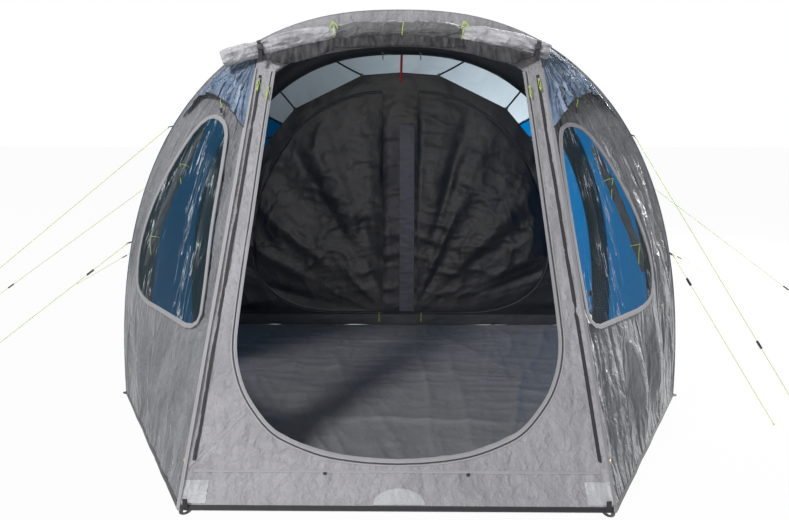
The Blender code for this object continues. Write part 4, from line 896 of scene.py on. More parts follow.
def window_prism(name, hand, shrink):
    line = window_line(hand, shrink)
    centre = sum(line, Vector()) / len(line)
    normal = Vector()
    for here, after in zip(line, line[1:] + line[:1]):
        normal += (here - centre).cross(after - centre)
    if normal.x * SIDES[hand] < 0:
        normal.negate()
    matrix = plane_at(centre, normal, Z_AXIS)
    back = matrix.inverted()
    return prism(name, [(back @ point).to_2d()[:] for point in line], matrix, 0.15)


def side_folds(across, share, hand):
    """Soft upright folds of a porch side below the window, and pulls towards its corners."""
    x = across * 1.3
    below = math.sin(math.pi * clamp(share / 0.30)) * math.sin(math.pi * across)
    deep = 0.020 * below * math.cos(8 * math.pi * across + 1.5 * share)
    rim = math.sin(math.pi * clamp(across)) ** 0.5 * clamp(share * 30) * clamp((1 - share) * 20)
    small = 0.0190 * rim * crumple(x * 6.5 + share * 1.5, share * 4.2, 41 + (hand == "right"))
    front = clamp((0.26 - across) / 0.10) * clamp(across * 30) * clamp(share * 12)
    return deep - small - 0.0200 * front * crumple(x * 15 + share * 2, share * 8.5, 43, 4)


def side_place(hand, folded=1.0, inset=0.0):
    side = SIDES[hand]

    def place(across, up):
        share = max(up, 0.0008)
        run = (across if side > 0 else 1 - across) ** 1.5
        edge_run = (PORCH.side_point(1, share, side) - PORCH.edge(share, side)).length
        reach = mix(0.0012 / edge_run, 1 - 0.0022 / edge_run, run)
        fold = side_folds(reach, share, hand) * folded - inset
        point = PORCH.side_point(reach, share, side) + fold * PORCH.side_normal(reach, share, side)
        return point, (reach * 1.3, share * 1.9)

    return place


window_edge_cloth = stitched_tape("window_binding", (0.30, 0.295, 0.31), (0.25, 0.245, 0.26), (0.42, 0.41, 0.43))
for hand, side in SIDES.items():
    wall = shaped_grid(f"porch_side_{hand}_cloth", 130, 130, side_place(hand), shaded_side_polyester)
    cloth(wall)
    cut(wall, window_prism("window_cutter", hand, 0.0))
    bpy.ops.object.shade_smooth_by_angle(angle=math.radians(50))
    sewn(wall, nodes=[f"porch_side_{hand}"])
    line = window_line(hand)
    ups = []
    for across, share in rounded(WINDOWS[hand], 2):
        ups.append(PORCH.side_normal(across, share, side))
    for where, lift, sign in (("outer", 0.0006, 1), ("inner", -0.0020, -1)):
        path = [point + normal * lift for point, normal in zip(line, ups)]
        signed = [normal * sign for normal in ups]
        binding = swept(
            f"window_binding_{where}_{hand}", path, flat_outline(0.022, 0.0014), window_edge_cloth, loop=True, ups=signed)
        sewn(binding)

# Each window is a sheet of clear PVC film, welded and sewn behind its hole. It is cold-creased from being
# rolled, and faintly blue. Thin pale streaks along some of its creases, and a faint haze where they bunch,
# are painted reflections, and the film is drawn less clear under them.
def clear_film():
    finish = Finish("clear_film", Roughness=0.09, Specular_IOR_Level=0.30)
    place = finish.place()
    spot = finish.place("UV")
    slack = finish.noise(place, 3.5, 2.0)
    folds = finish.noise(finish.scaled(spot, (7.0, 1.1, 1.0), (0.0, 0.0, 0.18)), 2.2, 3.0, 0.55)
    lines = finish.ridge(folds, 70.0)
    shown = finish.ramp(finish.noise(spot, 3.4, 2.0), [(0.44, 0.0), (0.56, 1.0)])
    # The streaks and the haze are painted reflections: they turn the film pale and less clear there.
    painted_streaks = lines * shown
    painted_glare = finish.ramp(folds, [(0.68, 0.0), (0.90, 1.0)])
    painted_glint = (painted_streaks + painted_glare * 0.12).maths("MINIMUM", 1.0)
    tone = finish.blend(painted_glint, (0.016, 0.070, 0.095), (0.80, 0.84, 0.88))
    normal = finish.bump(folds + slack * 1.5, 0.010, 0.6)
    return finish.finished(Base_Color=tone, Alpha=0.12 + painted_glint * 0.70, Normal=normal)


film = clear_film()
for hand in SIDES:
    pane = shaped_grid(f"window_pane_{hand}", 60, 80, side_place(hand, 0.0, 0.0004), film)
    cloth(pane, 0.0008)
    cut(pane, window_prism("pane_cutter", hand, 0.0008), "INTERSECT")
    bpy.ops.object.shade_smooth_by_angle(angle=math.radians(50))
    sewn(pane, nodes=[f"window_{hand}"])
    box_low, box_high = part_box(f"window_{hand}")

# A rain hood of blue cloth is sewn above each window and hangs over it, bellied out by its stiff bound rim.
HOOD_RIM = [(0.0, 0.823), (0.27, 0.861), (0.58, 0.868), (0.78, 0.864), (0.88, 0.855), (1.0, 0.80)]
hood_blue = woven_cloth(
    "hood_blue", (0.124, 0.188, 0.305), (0.062, 0.104, 0.185), (0.36, 0.44, 0.56), roughness=0.40, wrinkle=0.020, folds=0.055)


def hood_point(run, drop, side, extra=0.0):
    across = mix(0.012, 0.93, run)
    share = mix(0.997, float(np.interp(run, [a for a, _ in HOOD_RIM], [b for _, b in HOOD_RIM])), drop)
    belly = max(0.0, math.sin(math.pi * run) * drop)
    puckers = 0.030 * (crumple(run * 9, drop * 4, 51) - 0.5) * clamp(drop * 2) * clamp(run * 8) * clamp((1 - run) * 8)
    stand = max(0.0020, 0.0020 + 0.054 * belly ** 0.75 + puckers * clamp(belly * 4)) + extra
    return PORCH.side_point(across, share, side) + stand * PORCH.side_normal(across, share, side)


for hand, side in SIDES.items():

    def hood_place(across, up, side=side):
        run = across if side > 0 else 1 - across
        return hood_point(run, 1 - up, side), (run * 1.1, up * 0.35)

    hood = shaped_grid(f"rain_hood_{hand}", 72, 30, hood_place, hood_blue)
    cloth(hood, side=1.0)
    sewn(hood, nodes=[f"hood_{hand}"])
    runs = np.linspace(0.0, 1.0, 60).tolist()
    path = [hood_point(run, 1.0, side, 0.0006) for run in runs]
    binding = swept(f"hood_rim_{hand}", path, round_outline(0.0028, 8), black_tape)
    sewn(binding)

# The front door is rolled up over the doorway and tied: many turns of grey cloth round its own edge, drawn
# in where two webbing straps and three cord ties hold it. Its dark inner layer bunches under it.
ROLL_LEFT, ROLL_RIGHT, ROLL_RADIUS = -0.83, 0.71, 0.040
STRAP_PLACES = {"left": -0.655, "right": 0.655}
TIE_PLACES = {"left": -0.31, "middle": 0.02, "right": 0.31}
HEADER_HALF = HOOPS["front"].half_width_at(1.86)


def roll_hung(x):
    share = x / HEADER_HALF
    return PORCH.header_point(share, 0.20) + (ROLL_RADIUS + 0.0036) * PORCH.header_normal(share, 0.20)


def roll_centre(x):
    inside = clamp(x, -0.66, 0.66)
    if inside == x:
        return roll_hung(x)
    side = math.copysign(1, x)
    slope = (roll_hung(side * 0.66) - roll_hung(side * 0.62)) / 0.04
    return roll_hung(inside) + slope * abs(x - inside)


def roll_frame(x):
    along = (roll_centre(x + 0.01) - roll_centre(x - 0.01)).normalized()
    front = (PORCH.normal - PORCH.normal.dot(along) * along).normalized()
    return roll_centre(x), along, front, front.cross(along)


def roll_pinch(x):
    """1 where a strap or tie draws the roll in, 0 in between."""
    near = min(abs(x - place) for place in (*STRAP_PLACES.values(), *TIE_PLACES.values()))
    return clamp(1 - near / 0.085) ** 1.5


def roll_skin(x, turn):
    """The roll's radius at a turn round it: outer flap, bulges between the ties, and creases along it."""
    facing = max(0.0, math.cos(turn)) ** 1.2
    pinch = roll_pinch(x)
    flap = 0.0034 * (((turn - 0.45) / (2 * math.pi)) % 1.0)
    bulge = 0.0150 * facing * (1 - pinch) * (0.75 + 0.25 * wander(x * 7, turn, 61))
    crease = crumple(x * 9, turn * 1.4 + x * 5, 63, 4) * (0.8 + 0.6 * pinch)
    gather = 0.0035 * pinch * math.cos(turn * 9 + x * 20)
    end = clamp((x - ROLL_LEFT) / 0.03) * clamp((ROLL_RIGHT - x) / 0.03)
    drawn = 0.0046 * pinch
    return ROLL_RADIUS - 0.0005 + flap + bulge - 0.0130 * crease + gather * 0.5 - drawn + 0.0035 * end - 0.001


def roll_place(across, up):
    x = mix(ROLL_LEFT, ROLL_RIGHT, up)
    turn = 2 * math.pi * across
    centre, _, front, rise = roll_frame(x)
    radius = roll_skin(x, turn if across < 1 else 0.0)
    point = centre + radius * (math.cos(turn) * front + math.sin(turn) * rise)
    return point, (across * 0.26, x)


def rolled_cloth():
    """The door's grey face, and between the cord ties its dark inner layer, which hangs over the roll. Both are darker
    in the crease hollows and paler on the crests, as painted shade and painted highlight.
    """
    finish = Finish("rolled_cloth", Roughness=0.52, Sheen_Weight=0.25, Specular_IOR_Level=0.35)
    spot, place = finish.place("UV"), finish.place()
    round_run = finish.node("ShaderNodeSeparateXYZ", {}, {"Vector": spot}, 0)
    along = finish.node("ShaderNodeSeparateXYZ", {}, {"Vector": spot}, 1)
    wave = finish.noise(place, 9.0, 3.0)
    outside = (round_run > 0.019) * (round_run < 0.125)
    flap = (1 - outside) * ((along.maths("ABSOLUTE") + wave * 0.02) < 0.315)
    creases = finish.noise(finish.scaled(spot, (26, 5, 1)), 1.0, 5.0, 0.62)
    # From dark in the crease hollows to pale on their crests: painted shade and painted highlight, on the grey face and
    # on the dark inner layer.
    grey = finish.blend(finish.ramp(creases, [(0.34, 0.0), (0.66, 1.0)]), (0.185, 0.181, 0.196), (0.600, 0.590, 0.615))
    dark = finish.blend(creases, (0.022, 0.022, 0.024), (0.190, 0.190, 0.196))
    weave = finish.noise(spot, 900.0, 1.0)
    normal = finish.bump(creases + finish.ridge(wave, 4.0) * 0.4, 0.022, 0.9, finish.bump(weave, 0.0003, 0.4))
    return finish.finished(Base_Color=finish.blend(flap, grey, dark), Normal=normal)


roll_cloth = rolled_cloth()
roll = shaped_grid("rolled_door", 44, 330, roll_place, roll_cloth)
in_edit_mode(
    roll, (bpy.ops.mesh.remove_doubles, {"threshold": 1e-6}), (bpy.ops.mesh.select_all, {"action": "DESELECT"}),
    (bpy.ops.mesh.select_non_manifold, {"extend": False}), (bpy.ops.mesh.edge_face_add, {}),
    (bpy.ops.mesh.inset, {"thickness": 0.005, "depth": -0.003, "use_even_offset": False}),
    (bpy.ops.mesh.inset, {"thickness": 0.005, "depth": 0.003, "use_even_offset": False}),
    (bpy.ops.mesh.inset, {"thickness": 0.005, "depth": -0.004, "use_even_offset": False}),
    (bpy.ops.mesh.inset, {"thickness": 0.004, "depth": 0.004, "use_even_offset": False}),
    (bpy.ops.mesh.select_all, {"action": "SELECT"}), (bpy.ops.mesh.normals_make_consistent, {"inside": False}),
)
bpy.ops.object.shade_smooth_by_angle(angle=math.radians(50))
sewn(roll, nodes=["door_roll"])


def dark_mesh():
    """Fine black insect netting and lining, bunched so thick that it shows as one dark cloth."""
    finish = Finish("dark_mesh", Roughness=0.75, Sheen_Weight=0.3, Specular_IOR_Level=0.2)
    place = finish.place()
    holes = finish.noise(finish.scaled(finish.place("UV"), (900, 900, 1)), 1.0, 1.0)
    folds = finish.noise(finish.scaled(place, (40.0, 10.0, 10.0)), 1.0, 4.0, 0.6)
    tone = finish.blend(finish.ramp(folds, [(0.35, 0.0), (0.65, 1.0)]), (0.010, 0.010, 0.012), (0.075, 0.074, 0.080))
    return finish.finished(Base_Color=tone, Normal=finish.bump(holes * 0.15 + folds, 0.004, 0.8))


netting = dark_mesh()


BUNCH_HANG = [(0.0, 0.050), (0.24, 0.050), (0.31, 0.040), (0.40, 0.078), (0.50, 0.094), (0.58, 0.098), (0.64, 0.040)]


def bunch_place(across, up):
    """The lining sags below the roll from tie to tie, deepest next to the straps."""
    x = mix(-0.64, 0.64, up)
    turn = 2 * math.pi * (across % 1.0)
    centre, _, front, rise = roll_frame(x)
    hang = float(np.interp(abs(x), [a for a, _ in BUNCH_HANG], [b for _, b in BUNCH_HANG]))
    ends = math.sin(math.pi * clamp(up, 0.015, 0.985)) ** 0.3
    high = (hang * 0.62 + 0.008 + 0.006 * (crumple(x * 16, turn * 1.2, 71) - 0.5)) * ends
    deep = (0.014 + 0.009 * (crumple(x * 34, math.sin(turn) * 1.5, 73) - 0.3)) * ends
    low = centre - rise * (ROLL_RADIUS - 0.010 + hang * 0.5) - front * 0.002
    return low + math.cos(turn) * deep * front + math.sin(turn) * high * rise, (across * 0.2, x)


bunch = shaped_grid("bunched_lining", 26, 260, bunch_place, netting)
in_edit_mode(
    bunch, (bpy.ops.mesh.remove_doubles, {"threshold": 1e-6}), (bpy.ops.mesh.select_all, {"action": "DESELECT"}),
    (bpy.ops.mesh.select_non_manifold, {"extend": False}), (bpy.ops.mesh.fill_holes, {"sides": 0}),
    (bpy.ops.mesh.select_all, {"action": "SELECT"}), (bpy.ops.mesh.normals_make_consistent, {"inside": False}),
)
bpy.ops.object.shade_smooth_by_angle(angle=math.radians(60))
sewn(bunch)


def ribbed_webbing(name, colour, paler):
    """Polypropylene webbing: ribs across it and fuzz."""
    finish = Finish(name, Roughness=0.78, Sheen_Weight=0.3, Specular_IOR_Level=0.25)
    spot = finish.place("UV")
    ribs = finish.node(
        "ShaderNodeTexWave", {"bands_direction": "Y"}, {"Vector": spot, "Scale": 160.0, "Distortion": 0.3})
    fuzz = finish.noise(finish.place(), 500.0, 2.0)
    tone = finish.blend(ribs * 0.4 + fuzz * 0.5, colour, paler)
    return finish.finished(Base_Color=tone, Normal=finish.bump(ribs + fuzz * 0.3, 0.0005, 0.7))


black_webbing = ribbed_webbing("black_webbing", (0.014, 0.014, 0.016), (0.055, 0.055, 0.062))
for hand, x in STRAP_PLACES.items():
    centre, along, front, rise = roll_frame(x)
    turns = [2 * math.pi * step / 40 for step in range(40)]
    ways = [math.cos(turn) * front + math.sin(turn) * rise for turn in turns]
    path = [centre + way * (ROLL_RADIUS + 0.0003) for way in ways]
    strap = swept(f"roll_webbing_{hand}", path, flat_outline(0.020, 0.0015), black_webbing, loop=True, ups=ways)
    sewn(strap, nodes=[f"roll_strap_{hand}"])
    tail_way = (front * 0.9 - rise * 0.45).normalized()
    tail_top = centre + tail_way * (ROLL_RADIUS + 0.0012)
    drop = (-Z_AXIS + tail_way * 0.16).normalized()
    tail = [tail_top + tail_way * 0.002 * math.sin(step / 3) + drop * 0.0085 * step for step in range(9)]
    tail_piece = swept(f"roll_webbing_tail_{hand}", tail, flat_outline(0.019, 0.0014), black_webbing, ups=tail_way)
    sewn(tail_piece)

    bpy.ops.object.select_all(action="DESELECT")
    bpy.ops.mesh.primitive_cube_add(size=1)
    buckle = bpy.context.object
    buckle.scale = (0.030, 0.024, 0.006)
    bpy.ops.object.transform_apply(scale=True)
    modified(buckle, "BEVEL", width=0.0022, segments=3)
    buckle.matrix_world = plane_at(tail_top + tail_way * 0.0046, tail_way, Z_AXIS)
    buckle = finished_object(f"roll_buckle_{hand}", black_nylon)
    bpy.ops.object.shade_smooth_by_angle(angle=math.radians(35))
    sewn(buckle)

for place_name, x in TIE_PLACES.items():
    centre, along, front, rise = roll_frame(x)
    path = []
    for step in range(30):
        turn = 2 * math.pi * step / 30
        way = math.cos(turn) * front + math.sin(turn) * rise
        path.append(centre + way * (roll_skin(x, turn) + 0.0018) + along * 0.004 * math.sin(turn))
    tie = swept(f"roll_tie_{place_name}", path, round_outline(0.0019, 8), neon, loop=True)
    sewn(tie)
    if place_name == "middle":
        continue
    knot_at = centre + (front * 0.86 + rise * 0.5).normalized() * (ROLL_RADIUS + 0.014)
    for index, (shift, length) in enumerate(((-0.006, 0.075), (0.008, 0.052))):
        tail = []
        for step in range(14):
            share = step / 13
            sway = along * (shift * (1 + 1.2 * math.sin(2.2 * share))) + front * 0.010 * math.sin(2.4 * share)
            tail.append(knot_at + sway - Z_AXIS * length * share + along * 0.010 * share * (1 if index else -1))
        tail_piece = swept(f"roll_tie_tail_{place_name}_{index}", tail, round_outline(0.0018, 8), neon)
        sewn(tail_piece)
    loops = []
    for step in range(22):
        turn = 2 * math.pi * step / 22
        reach = 0.0050 * (1 + 0.3 * math.cos(3 * turn))
        loops.append(knot_at + along * reach * math.cos(2 * turn) + Z_AXIS * reach * math.sin(2 * turn) + front * 0.003 * math.sin(3 * turn))
    sewn(swept(f"roll_tie_knot_{place_name}", loops, round_outline(0.0018, 8), neon, loop=True))

# Black coil zips run down both edges of the front panel and round the doorway. Each has a metal slider with
# a loop of cord as its pull.
def coil_zip(name, colour, paler):
    """A nylon coil zip: tape either side and a raised row of fine teeth in the middle, along V."""
    finish = Finish(name, Roughness=0.5, Specular_IOR_Level=0.4)
    spot = finish.place("UV")
    along = finish.node("ShaderNodeSeparateXYZ", {}, {"Vector": spot}, 1)
    teeth = ((along / 0.0021).maths("FRACT") - 0.5).maths("ABSOLUTE")
    weave = finish.noise(finish.place(), 500.0, 2.0)
    tone = finish.blend(teeth * 1.1, colour, paler)
    return finish.finished(Base_Color=tone, Normal=finish.bump(teeth + weave * 0.3, 0.0011, 0.8))


zip_teeth = coil_zip("zip_teeth", (0.010, 0.010, 0.012), (0.052, 0.053, 0.060))
pale_coil = coil_zip("pale_coil", (0.070, 0.070, 0.075), (0.190, 0.188, 0.200))


def panel_zip(name, path, normal, tape=0.015, cloth_tape=None):
    strip = swept(f"{name}_tape", path, flat_outline(tape, 0.0009), cloth_tape or black_tape, ups=normal)
    sewn(strip)
    lifted = [point + normal * 0.0008 for point in path]
    coil = swept(f"{name}_coil", lifted, [(0.0032, 0.0), (0.0026, 0.0014), (0.0, 0.0021), (-0.0026, 0.0014), (-0.0032, 0.0)], zip_teeth, ups=normal)
    sewn(coil)


def side_zip_point(z, side, lift):
    return PORCH.panel_point(side * mix(0.797, 0.665, (z - 0.16) / 1.52), z, lift)


ZIP_BAND = 0.012
for hand, side in SIDES.items():
    path = [side_zip_point(mix(0.16, 1.68, step / 90), side, 0.0) for step in range(91)]
    path = [on_panel(point.x, point.z, 0.0006) for point in path]
    panel_zip(f"side_zip_{hand}", path, PORCH.normal)
u_line = []
open_edge = [(-x, z) for x, z in reversed([point for point in right_half if point[1] < 1.70])] + [
    point for point in right_half if point[1] < 1.70][1:]
for index, (x, z) in enumerate(open_edge):
    before, after = open_edge[max(0, index - 1)], open_edge[min(index + 1, len(open_edge) - 1)]
    along = Vector((after[0] - before[0], after[1] - before[1])).normalized()
    u_line.append(on_panel(x + along.y * ZIP_BAND, z - along.x * ZIP_BAND, 0.0006))
panel_zip("doorway_zip", u_line, PORCH.normal, tape=0.020, cloth_tape=grey_tape)


def zinc():
    """Die-cast zinc with a dark plating that is rubbed bright on its edges."""
    finish = Finish("zinc", Metallic=0.9)
    place = finish.place()
    rub = finish.noise(place, 160.0, 3.0)
    tone = finish.blend(rub, (0.18, 0.18, 0.19), (0.52, 0.52, 0.53))
    return finish.finished(Base_Color=tone, Roughness=rub * 0.25 + 0.24, Normal=finish.bump(finish.noise(place, 900.0), 0.0002, 0.4))


plated_zinc = zinc()


def slider_piece(name, centre, along, normal, body, node):
    """A zip slider: two shoulders that narrow to one throat, and a bridge for the pull."""
    bpy.ops.object.select_all(action="DESELECT")
    bpy.ops.mesh.primitive_cube_add(size=1)
    slider = bpy.context.object
    slider.scale = (0.0115, 0.0172, 0.0042)
    bpy.ops.object.transform_apply(scale=True)
    for vert in slider.data.vertices:
        if vert.co.y < 0:
            vert.co.x *= 0.66
    modified(slider, "BEVEL", width=0.0011, segments=3)
    slider.matrix_world = plane_at(centre + normal * 0.0026, normal, along)
    slider = finished_object(name, plated_zinc)
    bpy.ops.object.shade_smooth_by_angle(angle=math.radians(35))
    bridge = [centre + normal * (0.0046 + 0.0018 * math.sin(math.pi * step / 8)) + along * mix(-0.006, 0.006, step / 8)
              for step in range(9)]
    loop = swept(f"{name}_bridge", bridge, [(0.0021, -0.0006), (0.0021, 0.0006), (-0.0021, 0.0006), (-0.0021, -0.0006)], plated_zinc, ups=normal)
    sewn(slider, body, [node])
    sewn(loop, body)


def pull_piece(name, pivot, hang, normal, body, node, sideways):
    """A pull: a doubled cord through the slider's bridge, knotted below."""
    for strand, shift in (("near", 0.0016), ("far", -0.0016)):
        path = []
        for step in range(20):
            share = step / 19
            sway = sideways * (shift + 0.0022 * math.sin(math.pi * share) * (1 if shift > 0 else -1))
            path.append(pivot - hang * (0.050 * share) + sway + normal * 0.0012 * math.sin(2 * math.pi * share))
        strand_piece = swept(f"{name}_{strand}", path, round_outline(0.0013, 8), neon)
        sewn(strand_piece, body, [node] if strand == "near" else ())
    loops = []
    for step in range(24):
        turn = 2 * math.pi * step / 24
        reach = 0.0030 * (1 + 0.35 * math.cos(3 * turn))
        loops.append(
            pivot - hang * (0.053 + 0.0045 * math.sin(3 * turn)) + sideways * reach * math.cos(2 * turn)
            + normal * reach * math.sin(2 * turn))
    sewn(swept(f"{name}_knot", loops, round_outline(0.0014, 8), neon, loop=True), body)
    tail = [pivot - hang * (0.056 + 0.012 * step / 5) + sideways * 0.0016 * step / 5 for step in range(6)]
    sewn(swept(f"{name}_tail", tail, round_outline(0.0016, 8), neon), body)


joint_of = {joint["child"]: joint for joint in frame["joints"]}
for place_name in ("side", "door"):
    for hand, side in SIDES.items():
        low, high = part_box(f"{place_name}_slider_{hand}")
        pivot = Vector(joint_of[f"{place_name}_pull_{hand}"]["pos_m"])
        run = Vector(joint_of[f"{place_name}_slider_{hand}"]["axis"]).normalized()
        centre = (low + high) / 2 - PORCH.normal * 0.0023
        slider_piece(
            f"{place_name}_zip_slider_{hand}", centre, -run, PORCH.normal, f"{place_name}_slider_{hand}",
            f"{place_name}_slider_{hand}")
        pull_piece(
            f"{place_name}_zip_pull_{hand}", pivot, -run, PORCH.normal, f"{place_name}_pull_{hand}",
            f"{place_name}_pull_{hand}", PORCH.normal.cross(run).normalized())

# The bedroom is a second tent of thin black polyester hung inside the fly: a front wall with two D-shaped
# doorways, a roof and back in one cloth, and a tub floor. Elastic straps hang it from the middle beam.
INNER_FRONT_Y, INNER_ROOF_END, INNER_BACK_Y = 0.315, 1.71, 2.34
INNER_HALF, INNER_TOP, INNER_REAR_TOP, TUB_HEIGHT = 1.20, 1.77, 1.50, 0.080
INNER_STATIONS = 18
HUNG_STATIONS = [0, 1, 2, 3, 4, 5, 6, 8, 9, 10, 12, 13, 14, 15, 16, 17, 18]


def inner_cloth(name, colour, paler, roughness=0.40):
    """Thin coated polyester, black and breathable, with a soft gloss on its folds. Its colour is paler on the fold
    crests, which is painted highlight, and near-black towards the top, which is painted shade.
    """
    finish = Finish(name, Sheen_Weight=0.12, Sheen_Roughness=0.35, Specular_IOR_Level=0.38)
    place = finish.place()
    weave = finish.noise(finish.place("UV"), 900.0, 1.0)
    soft = finish.noise(place, 5.0, 4.0, 0.6)
    pulls = finish.noise(place, 9.0, 4.0, 0.6)
    height = finish.node("ShaderNodeSeparateXYZ", {}, {"Vector": place}, 2)
    # From about 1.3 m to 1.6 m the colour is blended towards near-black: painted shade under the roof.
    painted_top_shade = finish.ramp(height * 0.5, [(0.64, 0.0), (0.80, 0.85)])
    # Paler where the fold noise raises the cloth: painted highlight on the fold crests.
    tone = finish.blend(soft * 0.6 + pulls * 0.4, colour, paler)
    tone = finish.blend(painted_top_shade, tone, (0.002, 0.002, 0.0025))
    normal = finish.bump(pulls * 0.5 + soft, 0.008, 0.7, finish.bump(weave, 0.0003, 0.3))
    return finish.finished(Base_Color=tone, Roughness=roughness + soft * 0.12, Normal=normal)


inner_black = inner_cloth("inner_black", (0.009, 0.0085, 0.011), (0.026, 0.025, 0.030), 0.36)
strip_cloth = inner_cloth("strip_cloth", (0.060, 0.056, 0.074), (0.125, 0.117, 0.150), 0.42)


def inner_outline(y):
    """The bedroom's corners at a place along it, from the right hem over to the left: straight between straps."""
    share = clamp((y - INNER_FRONT_Y) / (INNER_ROOF_END - INNER_FRONT_Y))
    height = mix(INNER_TOP, INNER_REAR_TOP, share)
    if y > INNER_ROOF_END:
        height = mix(INNER_REAR_TOP, TUB_HEIGHT, (y - INNER_ROOF_END) / (INNER_BACK_Y - INNER_ROOF_END))
    hoop = Hoop(INNER_HALF, height, y)
    low = float(np.interp(TUB_HEIGHT + 0.0003, hoop.z[:401], hoop.shares[:401]))
    return {station: hoop.point(mix(low, 1 - low, station / INNER_STATIONS)) for station in HUNG_STATIONS}


inner_rows = {}


def inner_point(y, station):
    key = round(y, 4)
    if key not in inner_rows:
        inner_rows[key] = inner_outline(y)
    row = inner_rows[key]
    after = next(anchor for anchor in HUNG_STATIONS if anchor >= station - 1e-6)
    before = max(anchor for anchor in HUNG_STATIONS if anchor <= station + 1e-6)
    share = 0.0 if after == before else (station - before) / (after - before)
    return row[before].lerp(row[after], share)


def inner_roof_place(across, up):
    station = INNER_STATIONS * (1 - across)
    edge = math.sin(math.pi * clamp(up, 0, 1)) ** 0.5
    if up < 0.62:
        y = mix(INNER_FRONT_Y + 0.0016, INNER_ROOF_END, up / 0.62)
    else:
        y = mix(INNER_ROOF_END, INNER_ROOF_END + 0.63 * 0.88, (up - 0.62) / 0.35)
    if up > 0.975:
        point = inner_point(INNER_ROOF_END + 0.63 * 0.88, station)
        return Vector((point.x, INNER_BACK_Y, 0.0836)), (across * 4.6, up * 3.1)
    point = inner_point(y, station)
    middle = Vector((0, point.y, 0.9))
    give = (0.010 + 0.012 * crumple(across * 11, up * 6, 81)) * edge
    point += (middle - point).normalized() * give * clamp((point.z - 0.10) / 0.1)
    return point, (across * 4.6, up * 3.1)


bedroom = shaped_grid("bedroom_roof", 108, 48, inner_roof_place, inner_black)
cloth(bedroom, 0.0010, angle=60)
sewn(bedroom, nodes=["inner_tent"])

DOOR_HINGE, DOOR_WIDTH, DOOR_MIDDLE, DOOR_RISE, DOOR_DROP = 0.12, 0.915, 0.53, 1.10, 0.43


def door_top(share, trim=0.0):
    return DOOR_MIDDLE + (DOOR_RISE - trim) * math.sqrt(max(0.0, 1 - share ** 2))


def door_bottom(share, trim=0.0):
    turn = clamp((share - 0.35) / 0.65)
    return DOOR_MIDDLE - (DOOR_DROP - trim) * (1 - turn ** 2.3) ** (1 / 2.3)


def door_outline(side, grow=0.0):
    shares = [math.sin(math.pi / 2 * step / 26) for step in range(27)]
    width = DOOR_WIDTH + grow
    top = [(side * (DOOR_HINGE + width * share), door_top(share, -grow)) for share in shares]
    low = [(side * (DOOR_HINGE + width * share), door_bottom(share, -grow)) for share in shares[:-1]]
    return top + low[::-1]


def hung_folds(x, z, seed):
    """Folds of the hung front wall: pulls that fan out from the middle's foot, and level ones by the strip."""
    reach = abs(x) - DOOR_HINGE
    turn = math.atan2(z - 0.05, reach + 0.05)
    away = math.hypot(z - 0.05, reach + 0.05)
    fan = wander(turn * 8.5 + seed, away * 0.9, seed + 3)
    fan = fan * abs(fan) * 2.2
    level = crumple(z * 7 + reach * 1.4, reach * 1.3, seed + 5)
    near = math.exp(-max(0.0, reach) / 0.30)
    small = crumple(x * 6, z * 6, seed + 9)
    return 0.0240 * fan * clamp(away * 1.4) + 0.0170 * (level - 0.5) * near + 0.0140 * (small - 0.4)


def wall_place(across, up):
    x = 1.1985 * math.sin(math.pi / 2 * (2 * across - 1))
    top = float(np.interp(abs(x), [point.x for point in wall_top], [point.z for point in wall_top]))
    top = max(top - 0.0006, TUB_HEIGHT + 0.02)
    z = mix(TUB_HEIGHT + 0.0006, top, up)
    rim = clamp(up * 12) * clamp((1 - up) * 12) * clamp((1.19 - abs(x)) * 14)
    outside = abs(x) - DOOR_HINGE > 0 and z < door_top(clamp((abs(x) - DOOR_HINGE) / DOOR_WIDTH)) + 0.02
    low = 0.012 * clamp((0.20 - z) / 0.1) * crumple(x * 9, z * 12, 91)
    y = INNER_FRONT_Y - rim * (0.5 * hung_folds(x, z, 7) if outside else 0.7 * hung_folds(x, z, 7)) - low * rim
    return Vector((x, y, z)), (x, z)


wall_top = [inner_point(INNER_FRONT_Y + 0.0016, station) for station in range(9, 2, -1)]
wall_top += [inner_point(INNER_FRONT_Y + 0.0016, station / 4) for station in range(11, -1, -1)]
inner_wall = shaped_grid("bedroom_front", 150, 110, wall_place, inner_black)
cloth(inner_wall, 0.0010, side=1.0, angle=60)
for side in (-1, 1):
    hole = [(x, z) for x, z in door_outline(side)]
    cut(inner_wall, prism(f"door_hole_{side}", hole, plane_at((0, INNER_FRONT_Y, 0), -Y_AXIS, Z_AXIS), 0.08))
bpy.ops.object.shade_smooth_by_angle(angle=math.radians(60))
sewn(inner_wall, nodes=["inner_front_wall"])

